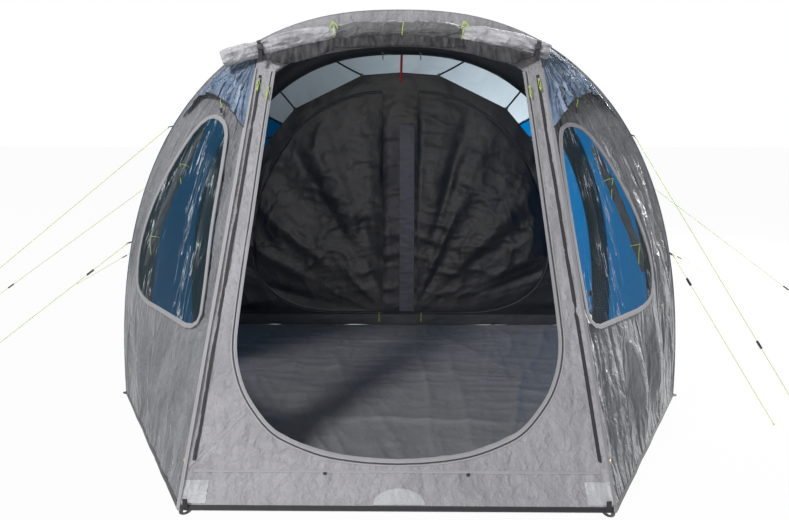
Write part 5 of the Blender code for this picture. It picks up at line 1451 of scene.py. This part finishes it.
for hand, side in SIDES.items():

    def leaf_place(across, up, side=side):
        run = across if side > 0 else 1 - across
        share = math.sin(math.pi / 2 * run)
        low, high = door_bottom(share, 0.0008), door_top(share, 0.0008)
        z = mix(low, high, up)
        x = side * (DOOR_HINGE + 0.0008 + (DOOR_WIDTH - 0.0016) * share)
        rim = (math.sin(math.pi * clamp(up)) * clamp(share * 9) * clamp((1 - share) * 9)) ** 0.5
        y = INNER_FRONT_Y - rim * hung_folds(x, z, 7 if side > 0 else 17) - 0.0
        return Vector((x, y, z)), (x, z)

    leaf = shaped_grid(f"bedroom_door_{hand}", 80, 120, leaf_place, inner_black)
    cloth(leaf, 0.0010, side=1.0, angle=60)
    sewn(leaf, f"inner_door_{hand}", [f"inner_door_{hand}"])
    track = [Vector((x, INNER_FRONT_Y - 0.0060, z)) for x, z in door_outline(side, 0.008)]
    zip_tape = swept(f"bedroom_zip_tape_{hand}", track, flat_outline(0.018, 0.0007), black_tape, ups=-Y_AXIS)
    zip_coil = swept(
        f"bedroom_zip_{hand}", [point - Y_AXIS * 0.0010 for point in track], round_outline(0.0026, 6, 0.0018), pale_coil,
        ups=-Y_AXIS)
    sewn(zip_tape)
    sewn(zip_coil)
    low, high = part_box(f"inner_slider_{hand}")
    pivot = Vector(joint_of[f"inner_pull_{hand}"]["pos_m"])
    centre = (low + high) / 2
    centre.y = high.y - 0.0010
    slider_piece(
        f"inner_zip_slider_{hand}", centre, X_AXIS * side, -Y_AXIS, f"inner_slider_{hand}", f"inner_slider_{hand}")
    pull_piece(f"inner_zip_pull_{hand}", pivot, Z_AXIS, -Y_AXIS, f"inner_pull_{hand}", f"inner_pull_{hand}", X_AXIS)

# A strip of paler cloth is sewn down the middle of the front wall, where a divider would zip on, and it
# puckers along both of its seams.
def strip_place(across, up):
    x = mix(-0.004, 0.098, across)
    z = mix(0.105, 1.42, up)
    pucker = 0.0030 * math.sin(math.pi * across) + 0.0034 * (crumple(z * 26, across * 1.4, 95) - 0.4)
    return Vector((x, INNER_FRONT_Y - 0.0105 - pucker, z)), (x, z)


strip = shaped_grid("bedroom_strip", 12, 220, strip_place, strip_cloth)
cloth(strip, 0.0010, side=1.0, angle=60)
sewn(strip)

for side in (-1, 1):
    for beam_station, inner_station in ((6, 5), (8, 6), (10, 8)):
        share = beam_station / STATIONS
        station = inner_station
        if side < 0:
            share, station = 1 - share, INNER_STATIONS - station
        hoop = fly_hoop(ARCH_PLACES["middle"])
        start = hoop.point(share, BEAM_INSET + 0.045) + Y_AXIS * 0.038
        end = inner_point(INNER_FRONT_Y + 0.0016, station) + Y_AXIS * 0.004
        out = hoop.outward(share)
        path = [start.lerp(end, step / 8) - out * 0.004 * math.sin(math.pi * step / 8) for step in range(9)]
        hanger = swept(f"hanger_{'right' if side > 0 else 'left'}_{beam_station}", path, flat_outline(0.012, 0.0016), black_webbing, ups=-Y_AXIS)
        sewn(hanger)
        loop = [end + (Vector((math.cos(turn), 0, math.sin(turn)))) * 0.010 - Y_AXIS * 0.002
                for turn in [2 * math.pi * step / 16 for step in range(16)]]
        ring = swept(f"hanger_hook_{'right' if side > 0 else 'left'}_{beam_station}", loop, round_outline(0.0022, 6), black_nylon, loop=True)
        sewn(ring)

# The floors are heavier coated sheets: a tub with low walls in the bedroom, and a flat groundsheet in the
# living room. Both lie in wrinkles from having been folded.
def floor_cloth(name, colour, paler, roughness):
    """Heavy PE-coated groundsheet: a coarse weave under a glossy coating, with fold lines and grit."""
    finish = Finish(name, Specular_IOR_Level=0.6)
    spot, place = finish.place("UV"), finish.place()
    weave = finish.noise(finish.scaled(spot, (420, 420, 1)), 1.0, 1.0)
    ripple = finish.noise(place, 9.0, 5.0, 0.62)
    grit = finish.ramp(finish.noise(place, 60.0, 3.0), [(0.55, 0.0), (0.75, 1.0)])
    broad = finish.noise(place, 1.2, 3.0)
    tone = finish.blend(ripple * 0.5 + broad * 0.5, colour, paler)
    normal = finish.bump(ripple, 0.012, 0.85, finish.bump(weave, 0.0004, 0.5))
    return finish.finished(Base_Color=tone, Roughness=roughness + grit * 0.14 + ripple * 0.12, Normal=normal)


groundsheet_cloth = floor_cloth("groundsheet_cloth", (0.145, 0.142, 0.150), (0.270, 0.266, 0.280), 0.27)
tub_cloth = floor_cloth("tub_cloth", (0.030, 0.030, 0.034), (0.058, 0.058, 0.064), 0.40)


def ground_place(across, up):
    y = mix(-2.39, 0.3147, up)
    half = mix(0.805, 1.32, clamp((y + 2.39) / 1.235))
    x = mix(-half, half, across)
    edge = clamp(min(across, 1 - across) * 25) * clamp(min(up, 1 - up) * 30)
    fan = math.atan2(x - 0.3, y + 3.4)
    long = crumple(fan * 14, y * 1.1, 101, 2) ** 1.5
    level = crumple(x * 1.1, y * 5.2 + 0.3 * wander(x * 2, y, 107), 103, 3) ** 1.4
    fold = 0.003 * max(0.0, 1 - abs(abs(x) - 0.62) / 0.02) + 0.003 * max(0.0, 1 - abs(y + 0.8) / 0.02)
    rise = 0.014 * long + 0.018 * level + fold + 0.020 * clamp((y - 0.16) / 0.15) ** 2
    return Vector((x, y, 0.0002 + rise * edge)), (x, y)


ground = shaped_grid("living_groundsheet_cloth", 190, 190, ground_place, groundsheet_cloth)
cloth(ground, 0.0012, side=1.0, angle=60)
sewn(ground, nodes=["living_groundsheet"])


def tub_place(across, up):
    """The tub's floor in the middle of the grid and its walls round the outside."""
    wall = 0.12
    sides = [clamp((across - wall) / (1 - 2 * wall)), clamp((up - wall) / (1 - 2 * wall))]
    x = mix(-1.1985, 1.1985, sides[0])
    y = mix(INNER_FRONT_Y + 0.0006, INNER_BACK_Y - 0.0006, sides[1])
    out = max(wall - across, across - 1 + wall, wall - up, up - 1 + wall, 0) / wall
    rise = 0.004 * crumple(x * 5, y * 4, 111) * (1 if out == 0 else 0)
    lean = 0.0
    return Vector((x, y + lean, 0.0006 + rise + 0.0780 * out)), (across * 2.56, up * 2.19)


tub = shaped_grid("bedroom_floor", 100, 100, tub_place, tub_cloth)
in_edit_mode(tub, (bpy.ops.mesh.remove_doubles, {"threshold": 1e-5}), (bpy.ops.mesh.normals_make_consistent, {"inside": False}))
cloth(tub, 0.0012, side=0.0, angle=60)
sewn(tub, nodes=["inner_floor"])

# The back of the tent is one sloping cloth of the roof's grey, in the same cut as the porch but closed.
# It is sewn to the rear arch and pegged along its hem.
REAR = SlopedEnd(HOOPS["rear"], REAR_Y, 1.825, 1.25, 0.56, 1.58, 0.07, 1.67)
rear_ends = 1 - 0.0012 / 1.25


def rear_crumple(x, z):
    rim = clamp(z * 14) * clamp((1.6 - z) * 6)
    return rim * (0.0060 * crumple(x * 3.2, z * 2.6, 121) + 0.0045 * (1 + wander(x * 4, z * 2, 123)))


def rear_place(across, up):
    """From the right side over the panel to the left side: three runs that meet on the panel's edges."""
    side_run, split = 0.30, 0.90
    rise = clamp((up - split) / (1 - split))
    low = clamp(up / split)
    if side_run <= across <= 1 - side_run:
        share = 1 - 2 * (across - side_run) / (1 - 2 * side_run)
        if up <= split:
            point = REAR.panel_grid_point(share, low)
            inward = rear_crumple(point.x, point.z)
            return point - REAR.normal * inward * clamp((1 - abs(share)) * 12), (point.x, point.z * 1.07)
        gap = 1 - 0.0022 / (REAR.header_point(share, 1.0) - REAR.header_point(share, 0.0)).length
        point = REAR.header_point(share, min(rise, gap))
        return point, (point.x, 1.7 + rise * 0.1)
    side = 1 if across < side_run else -1
    run = (side_run - across) / side_run if side > 0 else (across - 1 + side_run) / side_run
    share = low if up <= split else 1.0
    reach = run * (1 - 0.0022 / max(0.05, (REAR.side_point(1, share, side) - REAR.edge(share, side)).length))
    point = REAR.side_point(reach, max(share, 0.0008), side)
    if up > split:
        corner = REAR.header_point(side, rise)
        point = point.lerp(corner, rise) if run < 1 else point
    inward = rear_crumple(point.y * 2, point.z) * math.sin(math.pi * clamp(run)) if up <= split else 0.0
    return point - REAR.side_normal(reach, share, side) * inward, (point.x - side * point.y, point.z)


rear_cloth = shaped_grid("rear_cloth", 150, 110, rear_place, roof_polyester)
in_edit_mode(
    rear_cloth, (bpy.ops.mesh.remove_doubles, {"threshold": 1e-5}),
    (bpy.ops.mesh.normals_make_consistent, {"inside": False}))
if sum(face.normal.y for face in rear_cloth.data.polygons) < 0:
    in_edit_mode(rear_cloth, (bpy.ops.mesh.flip_normals, {}))
cloth(rear_cloth, lining=roof_lining)
sewn(rear_cloth, nodes=["rear_wall"])
for hand, side in SIDES.items():
    heights = np.linspace(0.004, 0.985, 60).tolist()
    path = [REAR.edge(share, side) + Y_AXIS * 0.0006 for share in heights]
    ups = [(REAR.side_normal(0.02, share, side) + REAR.normal).normalized() for share in heights]
    sewn(swept(f"rear_edge_seam_{hand}", path, flat_outline(0.020, 0.0012), grey_tape, ups=ups))
    path = [PORCH.edge(share, side) for share in heights]
    ups = [(PORCH.side_normal(0.02, share, side) + PORCH.normal).normalized() for share in heights]
    sewn(swept(f"porch_edge_seam_{hand}", path, flat_outline(0.018, 0.0012), grey_tape, ups=ups))

# A rain cowl low on each side wall keeps an air vent open: blue cloth sewn along its top and sides, stiff
# at its lower edge, over a patch of black netting.
for hand, side in SIDES.items():

    def vent_place(across, up, side=side):
        run = across if side > 0 else 1 - across
        y = FRONT_Y + 1.27 + 0.14 + 0.24 * run
        z = mix(0.13, 0.31, up)
        belly = ((1 - up) * math.sin(math.pi * run)) ** 0.7
        stand = 0.053 * belly + 0.006 * (crumple(run * 5, up * 4, 131) - 0.4) * clamp(belly * 3) + 0.0010
        return Vector((side * (fly_hoop(y).half_width_at(z) + max(0.0008, stand)), y, z)), (run * 0.26, up * 0.2)

    cowl = shaped_grid(f"vent_cowl_{hand}", 36, 26, vent_place, blue_polyester)
    cloth(cowl, side=1.0)
    sewn(cowl, nodes=[f"vent_{hand}"])
    path = [vent_place(step / 24, 0.0)[0] + X_AXIS * side * 0.0008 for step in range(25)]
    sewn(swept(f"vent_rim_{hand}", path, round_outline(0.0024, 8), black_tape))
    ys = np.linspace(-0.995, -0.805, 12).tolist()
    path = [Vector((side * (fly_hoop(y).half_width_at(0.20) + 0.0004), y, 0.20)) for y in ys]
    sewn(swept(f"vent_netting_{hand}", path, flat_outline(0.11, 0.0008), netting, ups=X_AXIS * side))

# Webbing tabs are sewn to the fly beside each arch, and each holds a guy line. Rubbered webbing loops on
# the hem take the pegs.
GUY_SEAMS = {}
for line, (start, end, _) in GUY_LINES.items():
    start, end = Vector(start), Vector(end)
    hoop_name = line.split("_")[0]
    hoop = HOOPS[hoop_name]
    side = math.copysign(1, start.x)
    inward = -0.030 if hoop_name == "rear" else 0.030
    way = (end - start).normalized()
    out = hoop.outward(hoop.share_at(start.z, side))
    reach = (out + 1.5 * way).normalized()
    seam = start - reach * 0.036
    flat = reach.cross(way).cross(reach).normalized() if reach.cross(way).length > 1e-4 else Z_AXIS
    path = [seam + reach * 0.034 * step / 10 for step in range(11)]
    tab = swept(f"guy_tab_{line}", path, flat_outline(0.020, 0.0018), black_webbing, ups=flat)
    sewn(tab)
    ring = [start - way * 0.001 + reach * 0.006 * math.cos(turn) + flat * 0.0 + reach.cross(flat) * 0.006 * math.sin(turn)
            for turn in [2 * math.pi * step / 18 for step in range(18)]]
    sewn(swept(f"guy_ring_{line}", ring, round_outline(0.0014, 8), plated_zinc, loop=True))
    patch_share = hoop.share_at(seam.z, side)
    shares = [patch_share + shift for shift in np.linspace(-0.008, 0.008, 5).tolist()]
    path = [hoop.point(share, -0.0014) + Y_AXIS * inward * 0.9 for share in shares]
    ups = [hoop.outward(share) for share in shares]
    sewn(swept(f"guy_patch_{line}", path, flat_outline(0.046, 0.0012), black_tape, ups=ups))


def peg_loop(name, anchor, out, along):
    """A D of webbing that lies on the ground, from the hem outwards."""
    turns = [math.pi * (step / 20 - 0.5) for step in range(21)]
    path = [anchor + out * (0.036 * math.cos(turn) - 0.012) + along * 0.017 * math.sin(turn) + Z_AXIS * 0.0012 for turn in turns]
    loop = swept(name, path, flat_outline(0.016, 0.0020), black_webbing, ups=Z_AXIS)
    sewn(loop)
    base = [anchor + out * -0.004 + Z_AXIS * (0.004 + 0.045 * step / 6) + out * 0.0018 for step in range(7)]
    sewn(swept(f"{name}_strap", base, flat_outline(0.020, 0.0016), black_webbing, ups=out))


for hand, side in SIDES.items():
    for hoop_name, inward in (("front", 0.035), ("middle", 0.0), ("rear", -0.035)):
        hoop = HOOPS[hoop_name]
        peg_loop(f"peg_loop_{hoop_name}_{hand}", Vector((side * hoop.half_width, hoop.y + inward, 0)), X_AXIS * side, Y_AXIS)
    peg_loop(f"peg_loop_porch_{hand}", Vector((side * 0.81, FRONT_Y, 0)), -Y_AXIS, X_AXIS)
    peg_loop(f"peg_loop_rear_{hand}", Vector((side * 1.22, REAR_Y, 0)), Y_AXIS, X_AXIS)

# A black mud strip is folded round the hem all the way and shows as a dark line at the ground.
def hem(name, path, outs):
    strip = swept(name, path, flat_outline(0.020, 0.0010), black_tape, ups=outs)
    sewn(strip)


for hand, side in SIDES.items():
    for part, first_hoop, last_hoop in (("front", "front", "middle"), ("rear", "middle", "rear")):
        ys = np.linspace(HOOPS[first_hoop].y + 0.002, HOOPS[last_hoop].y - 0.002, 30).tolist()
        path = [Vector((side * (fly_hoop(y).half_width_at(0.011) + 0.0004), y, 0.011)) for y in ys]
        hem(f"hem_{part}_{hand}", path, X_AXIS * side)
    for end_name, end in (("porch", PORCH), ("rear", REAR)):
        reaches = np.linspace(0.01, 0.985, 30).tolist()
        share = 0.011 / end.join_z
        folds = [side_folds(reach, share, hand) if end is PORCH else 0.0 for reach in reaches]
        outs = [end.side_normal(reach, share, side) for reach in reaches]
        path = [end.side_point(reach, share, side) + out * (fold + 0.0004) for reach, fold, out in zip(reaches, folds, outs)]
        hem(f"hem_{end_name}_side_{hand}", path, outs)
xs = np.linspace(-0.83, 0.83, 70).tolist()
hem("hem_porch_front", [on_panel(x, 0.011, 0.0004) for x in xs], PORCH.normal)
hem("hem_rear_back", [REAR.panel_point(x * 1.48, 0.011, 0.0006) for x in xs], REAR.normal)

# Each beam has a push valve near its right foot: a welded flange, a neck, and a cap that screws on. The
# valves and caps are moulded of black nylon.
cap_plastic = moulded_plastic("cap_plastic", (0.022, 0.022, 0.024), 0.38)
for part in BEAM_PLACES:
    joint = joint_of[f"valve_cap_{part}"]
    place, way = Vector(joint["pos_m"]), Vector(joint["axis"]).normalized()
    steps = [(0.0, 0.030, 0.0), (0.0, 0.030, 0.003), (0.0, 0.022, 0.0042), (0.0, 0.014, 0.0046), (0.0, 0.014, 0.0160)]
    bpy.ops.object.select_all(action="DESELECT")
    bpy.ops.mesh.primitive_cylinder_add(vertices=48, radius=0.030, depth=0.003, end_fill_type="NGON")
    flange = bpy.context.object
    modified(flange, "BEVEL", width=0.0009, segments=2)
    flange.matrix_world = plane_at(place + way * 0.0015, way, Z_AXIS)
    flange = finished_object(f"valve_flange_{part}", black_nylon)
    bpy.ops.object.shade_smooth_by_angle(angle=math.radians(35))
    sewn(flange)
    node = frame["nodes"][f"valve_cap_{part}"]
    node.data.materials.clear()
    node.data.materials.append(cap_plastic)
    low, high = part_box(f"valve_cap_{part}")
    crown = place + way * max(abs((high - place).dot(way)), abs((low - place).dot(way))) * 0.94
    for index in range(16):
        turn = 2 * math.pi * index / 16
        round_way = way.cross(Z_AXIS).normalized() * math.cos(turn) + way.cross(way.cross(Z_AXIS)).normalized() * math.sin(turn)
        rib = [place + way * (0.0062 + 0.0098 * step / 3) + round_way * 0.0163 for step in range(4)]
        sewn(swept(f"valve_cap_rib_{part}_{index}", rib, round_outline(0.0008, 6), cap_plastic), f"valve_cap_{part}")

# Seams, patches and fittings of the porch: the panel's lower band and corner gussets are flat-felled, pale
# welded patches stiffen its bottom corners, and a half-round flap covers the cable port at its middle.
def panel_seam(name, first, last, width=0.012, material=None):
    path = [on_panel(mix(first[0], last[0], step / 60), mix(first[1], last[1], step / 60), 0.0004) for step in range(61)]
    sewn(swept(name, path, flat_outline(width, 0.0011), material or grey_tape, ups=PORCH.normal))


panel_seam("panel_band_seam", (-0.795, 0.128), (0.795, 0.128))
for hand, side in SIDES.items():
    panel_seam(f"panel_gusset_seam_{hand}", (side * 0.815, 0.142), (side * 0.610, 0.320), 0.010)
binding_run = [on_panel(x + 0.0005 * math.copysign(1, x), z, 0.0003) for x, z in open_edge]
sewn(swept("doorway_binding", binding_run, flat_outline(0.012, 0.0012), window_edge_cloth, ups=PORCH.normal))


def welded_patch(name, corners, rows=8):
    """A patch of heavier pale cloth, welded on over the folds of the panel."""
    (left, low), (right, _), (far_right, high), (far_left, _) = corners

    def place(across, up):
        x = mix(mix(left, right, across), mix(far_left, far_right, across), up)
        z = mix(low, high, up)
        return on_panel(x, z, 0.0016 + 0.0008 * wander(x * 50, z * 50, 141)), (x, z)

    patch = shaped_grid(name, 18, 18, place, patch_cloth)
    cloth(patch, 0.0010, side=0.0)
    sewn(patch)
    abs(right - left)
    abs(high - low)


patch_cloth = woven_cloth("patch_cloth", (0.42, 0.42, 0.44), (0.34, 0.34, 0.36), (0.55, 0.55, 0.57), roughness=0.42)
for hand, side in SIDES.items():
    ends = ((side * 0.735, 0.024), (side * 0.832, 0.024), (side * 0.826, 0.098), (side * 0.732, 0.098))
    welded_patch(f"corner_patch_{hand}", ends if side > 0 else (ends[1], ends[0], ends[3], ends[2]))


def flap_place(across, up):
    turn = math.pi * across
    reach = 0.10 * up
    x, z = 0.01 - reach * math.cos(turn), 0.022 + reach * 0.52 * math.sin(turn)
    return on_panel(x, z, 0.0022 + 0.0010 * math.sin(turn * 3) * up), (x, z)


flap = shaped_grid("cable_flap", 28, 10, flap_place, patch_cloth)
in_edit_mode(flap, (bpy.ops.mesh.remove_doubles, {"threshold": 1e-5}), (bpy.ops.mesh.normals_make_consistent, {"inside": False}))
cloth(flap, 0.0010, side=0.0)
sewn(flap)
for hand, side in SIDES.items():
    top = on_panel(side * 0.28, 0.125, 0.0016)
    path = [top - Z_AXIS * (0.034 * step / 8) + PORCH.normal * (0.004 * math.sin(math.pi * step / 8)) for step in range(9)]
    sewn(swept(f"front_tab_{hand}", path, flat_outline(0.014, 0.0022), black_webbing, ups=PORCH.normal))
    centre = path[-1] - Z_AXIS * 0.010 + PORCH.normal * 0.001
    ring = [centre + X_AXIS * 0.0105 * math.cos(turn) + Z_AXIS * 0.0125 * math.sin(turn)
            for turn in [2 * math.pi * step / 24 for step in range(24)]]
    sewn(swept(f"front_ring_{hand}", ring, round_outline(0.0020, 8), plated_zinc, loop=True))

# Each window has a dark blind of thin cloth inside, rolled to its arch side and tied back with neon cord
# loops. A toggle cord hangs from the hood's edge.
blind_cloth = woven_cloth("blind_cloth", (0.055, 0.057, 0.062), (0.036, 0.037, 0.041), (0.10, 0.10, 0.11))


def tie_cord(name, points, width=0.0017):
    sewn(swept(name, points, round_outline(width, 8), neon))


def inside_window(hand, across, share, depth):
    side = SIDES[hand]
    return PORCH.side_point(across, share, side) - PORCH.side_normal(across, share, side) * depth


for hand, side in SIDES.items():
    low_end, high_end = ((0.87, 0.40), (0.66, 0.79)) if side < 0 else ((0.75, 0.40), (0.54, 0.75))

    def blind_place(across, up, hand=hand, low_end=low_end, high_end=high_end):
        turn = 2 * math.pi * (across % 1.0)
        reach, share = mix(low_end[0], high_end[0], up), mix(low_end[1], high_end[1], up)
        centre = inside_window(hand, reach, share, 0.040)
        out = PORCH.side_normal(reach, share, SIDES[hand])
        level = out.cross(Z_AXIS).normalized()
        ends = math.sin(math.pi * clamp(up, 0.02, 0.98)) ** 0.2
        radius = ends * (0.020 + 0.005 * wander(up * 16, math.cos(turn) * 2, 151) + 0.002 * math.cos(5 * turn + up * 9))
        return centre + out * math.cos(turn) * radius + level * math.sin(turn) * radius, (across * 0.12, up * 0.8)

    blind = shaped_grid(f"window_blind_{hand}", 20, 90, blind_place, blind_cloth)
    in_edit_mode(
        blind, (bpy.ops.mesh.remove_doubles, {"threshold": 1e-5}), (bpy.ops.mesh.select_all, {"action": "DESELECT"}),
        (bpy.ops.mesh.select_non_manifold, {"extend": False}), (bpy.ops.mesh.fill_holes, {"sides": 0}),
        (bpy.ops.mesh.select_all, {"action": "SELECT"}), (bpy.ops.mesh.normals_make_consistent, {"inside": False}))
    bpy.ops.object.shade_smooth_by_angle(angle=math.radians(60))
    sewn(blind)
    for index, run in enumerate((0.22, 0.74)):
        reach, share = mix(low_end[0], high_end[0], run), mix(low_end[1], high_end[1], run)
        centre = inside_window(hand, reach, share, 0.040)
        out = PORCH.side_normal(reach, share, side)
        level = out.cross(Z_AXIS).normalized()
        loop = [centre + (out * math.cos(turn) + level * math.sin(turn)) * 0.024 for turn in [2 * math.pi * step / 24 for step in range(24)]]
        sewn(swept(f"blind_tie_{hand}_{index}", loop, round_outline(0.0017, 8), neon, loop=True))
        tail_top = centre + out * 0.024
        tie_cord(f"blind_tail_{hand}_{index}", [tail_top + out * 0.001 + level * 0.006 * math.sin(step / 3.0) - Z_AXIS * 0.011 * step for step in range(10)])
    rim_run = 0.42
    start = hood_point(rim_run, 1.0, side, 0.002)
    tie_cord(f"hood_toggle_cord_{hand}", [start - Z_AXIS * 0.007 * step + X_AXIS * side * 0.002 * math.sin(step) for step in range(8)], 0.0014)
    bpy.ops.object.select_all(action="DESELECT")
    bpy.ops.mesh.primitive_cylinder_add(vertices=20, radius=0.0065, depth=0.024)
    toggle = bpy.context.object
    modified(toggle, "BEVEL", width=0.0016, segments=3)
    toggle.matrix_world = Matrix.Translation(start - Z_AXIS * 0.055)
    toggle = finished_object(f"hood_toggle_{hand}", black_nylon)
    bpy.ops.object.shade_smooth_by_angle(angle=math.radians(35))
    sewn(toggle)

# At the top of the middle beam a red webbing strap and two black hooks hold the bedroom up.
red_webbing = ribbed_webbing("red_webbing", (0.42, 0.012, 0.020), (0.60, 0.040, 0.050))
arch_low = fly_hoop(ARCH_PLACES["middle"]).height - BEAM_INSET - 0.060
top = Vector((0.010, ARCH_PLACES["middle"] + 0.050, arch_low + 0.045))
end = Vector((0.004, INNER_FRONT_Y - 0.010, 1.700))
path = [top.lerp(end, step / 12) - Y_AXIS * 0.012 * math.sin(math.pi * step / 12) for step in range(13)]
sewn(swept("bedroom_red_strap", path, flat_outline(0.016, 0.0016), red_webbing, ups=-Y_AXIS))
for index, x in enumerate((-0.115, 0.135)):
    z = fly_hoop(ARCH_PLACES["middle"]).height_at(x) - BEAM_INSET - 0.052
    base = Vector((x, ARCH_PLACES["middle"] - 0.030, z - 0.004))
    path = [base + Vector((0, 0.006 * math.sin(1.4 * math.pi * step / 16) * 1.6, -0.034 * math.sin(0.5 * math.pi * step / 10) if step <= 10 else -0.034 + 0.0035 * (step - 10))) for step in range(17)]
    sewn(swept(f"ceiling_hook_{index}", path, round_outline(0.0032, 8), black_nylon))
    strap = [base + Vector((step * 0.004 - 0.010, -0.002, 0.003)) for step in range(6)]
    sewn(swept(f"ceiling_hook_base_{index}", strap, flat_outline(0.018, 0.0035), black_nylon, ups=-Y_AXIS))


def pressed_brass():
    """A pressed snap fastener: lacquered brass."""
    finish = Finish("pressed_brass", Metallic=1.0)
    marks = finish.noise(finish.place(), 420.0, 3.0)
    tone = finish.blend(marks, (0.62, 0.38, 0.12), (0.85, 0.60, 0.25))
    return finish.finished(Base_Color=tone, Roughness=marks * 0.2 + 0.22)


brass = pressed_brass()
for hand, side in SIDES.items():
    bpy.ops.object.select_all(action="DESELECT")
    bpy.ops.mesh.primitive_uv_sphere_add(segments=24, ring_count=12, radius=0.0075)
    snap = bpy.context.object
    snap.scale = (1, 1, 0.42)
    normal = PORCH.side_normal(0.05, 0.085, side)
    bpy.ops.object.transform_apply(scale=True)
    reach = 0.035
    fold = side_folds(reach, 0.085, hand)
    snap.matrix_world = plane_at(PORCH.side_point(reach, 0.085, side) + normal * (fold + 0.0015), normal, Z_AXIS)
    snap = finished_object(f"door_snap_{hand}", brass)
    bpy.ops.object.shade_smooth_by_angle(angle=math.radians(60))
    sewn(snap)

# The studio: a pale floor, a large soft lamp to the front left, a fill and a low lamp in front, two lamps behind to the
# right and a plain white sky.
def studio_floor():
    finish = Finish("studio_floor", Roughness=0.9, Specular_IOR_Level=0.1)
    finish.shader.inputs["Base Color"].default_value = (0.50, 0.50, 0.50, 1)
    light = finish.node("ShaderNodeLightPath", {}, {}, "Is Camera Ray")
    glossy = finish.node("ShaderNodeLightPath", {}, {}, "Is Glossy Ray")
    through = finish.node("ShaderNodeLightPath", {}, {}, "Is Transmission Ray")
    seen = (light + glossy + through).maths("MINIMUM", 1.0)
    glow = finish.node("ShaderNodeEmission", {}, {"Color": (1.0, 1.0, 1.0, 1.0), "Strength": 1.0})
    output = finish.nodes["Material Output"]
    mixed = finish.nodes.new("ShaderNodeMixShader")
    finish.links.new((seen * 0.965).socket, mixed.inputs[0])
    finish.links.new(finish.shader.outputs[0], mixed.inputs[1])
    finish.links.new(glow.socket, mixed.inputs[2])
    finish.links.new(mixed.outputs[0], output.inputs["Surface"])
    return finish.material


bpy.ops.object.select_all(action="DESELECT")
bpy.ops.mesh.primitive_plane_add(size=60, location=(0, 0, -0.0015))
floor = finished_object("studio_ground", studio_floor())


def soft_lamp(name, place, aim, size, power):
    bpy.ops.object.light_add(type="AREA", location=place)
    lamp = bpy.context.object
    lamp.name = name
    lamp.data.shape = "DISK"
    lamp.data.size = size
    lamp.data.energy = power
    lamp.rotation_euler = (Vector(aim) - Vector(place)).to_track_quat("-Z", "Y").to_euler()
    return lamp


soft_lamp("key_lamp", (-3.3, -5.4, 5.2), (0, -1.0, 0.8), 1.3, 350)
soft_lamp("fill_lamp", (-1.6, -8.0, 2.2), (0, -0.2, 0.8), 2.0, 36)
soft_lamp("low_lamp", (0.1, -7.6, 0.5), (0, 0.3, 0.7), 1.0, 55)
soft_lamp("back_lamp", (2.6, 3.8, 5.2), (0, 0.4, 1.1), 3.5, 300)
soft_lamp("side_lamp", (4.8, 3.0, 2.4), (1.3, -0.4, 0.9), 1.5, 700)
world = bpy.data.worlds.new("plain_sky")
bpy.context.scene.world = world
world.use_nodes = True
sky = world.node_tree
for node in list(sky.nodes):
    sky.nodes.remove(node)
path = sky.nodes.new("ShaderNodeLightPath")
seen = sky.nodes.new("ShaderNodeMath")
seen.operation = "MAXIMUM"
sky.links.new(path.outputs["Is Camera Ray"], seen.inputs[0])
sky.links.new(path.outputs["Is Glossy Ray"], seen.inputs[1])
white, dim = sky.nodes.new("ShaderNodeBackground"), sky.nodes.new("ShaderNodeBackground")
white.inputs["Color"].default_value = (1, 1, 1, 1)
white.inputs["Strength"].default_value = 1.0
dim.inputs["Color"].default_value = (0.92, 0.96, 1.0, 1)
dim.inputs["Strength"].default_value = 0.24
either = sky.nodes.new("ShaderNodeMixShader")
sky.links.new(seen.outputs[0], either.inputs[0])
sky.links.new(dim.outputs[0], either.inputs[1])
sky.links.new(white.outputs[0], either.inputs[2])
out = sky.nodes.new("ShaderNodeOutputWorld")
sky.links.new(either.outputs[0], out.inputs["Surface"])
bpy.context.scene.view_settings.view_transform = "Standard"
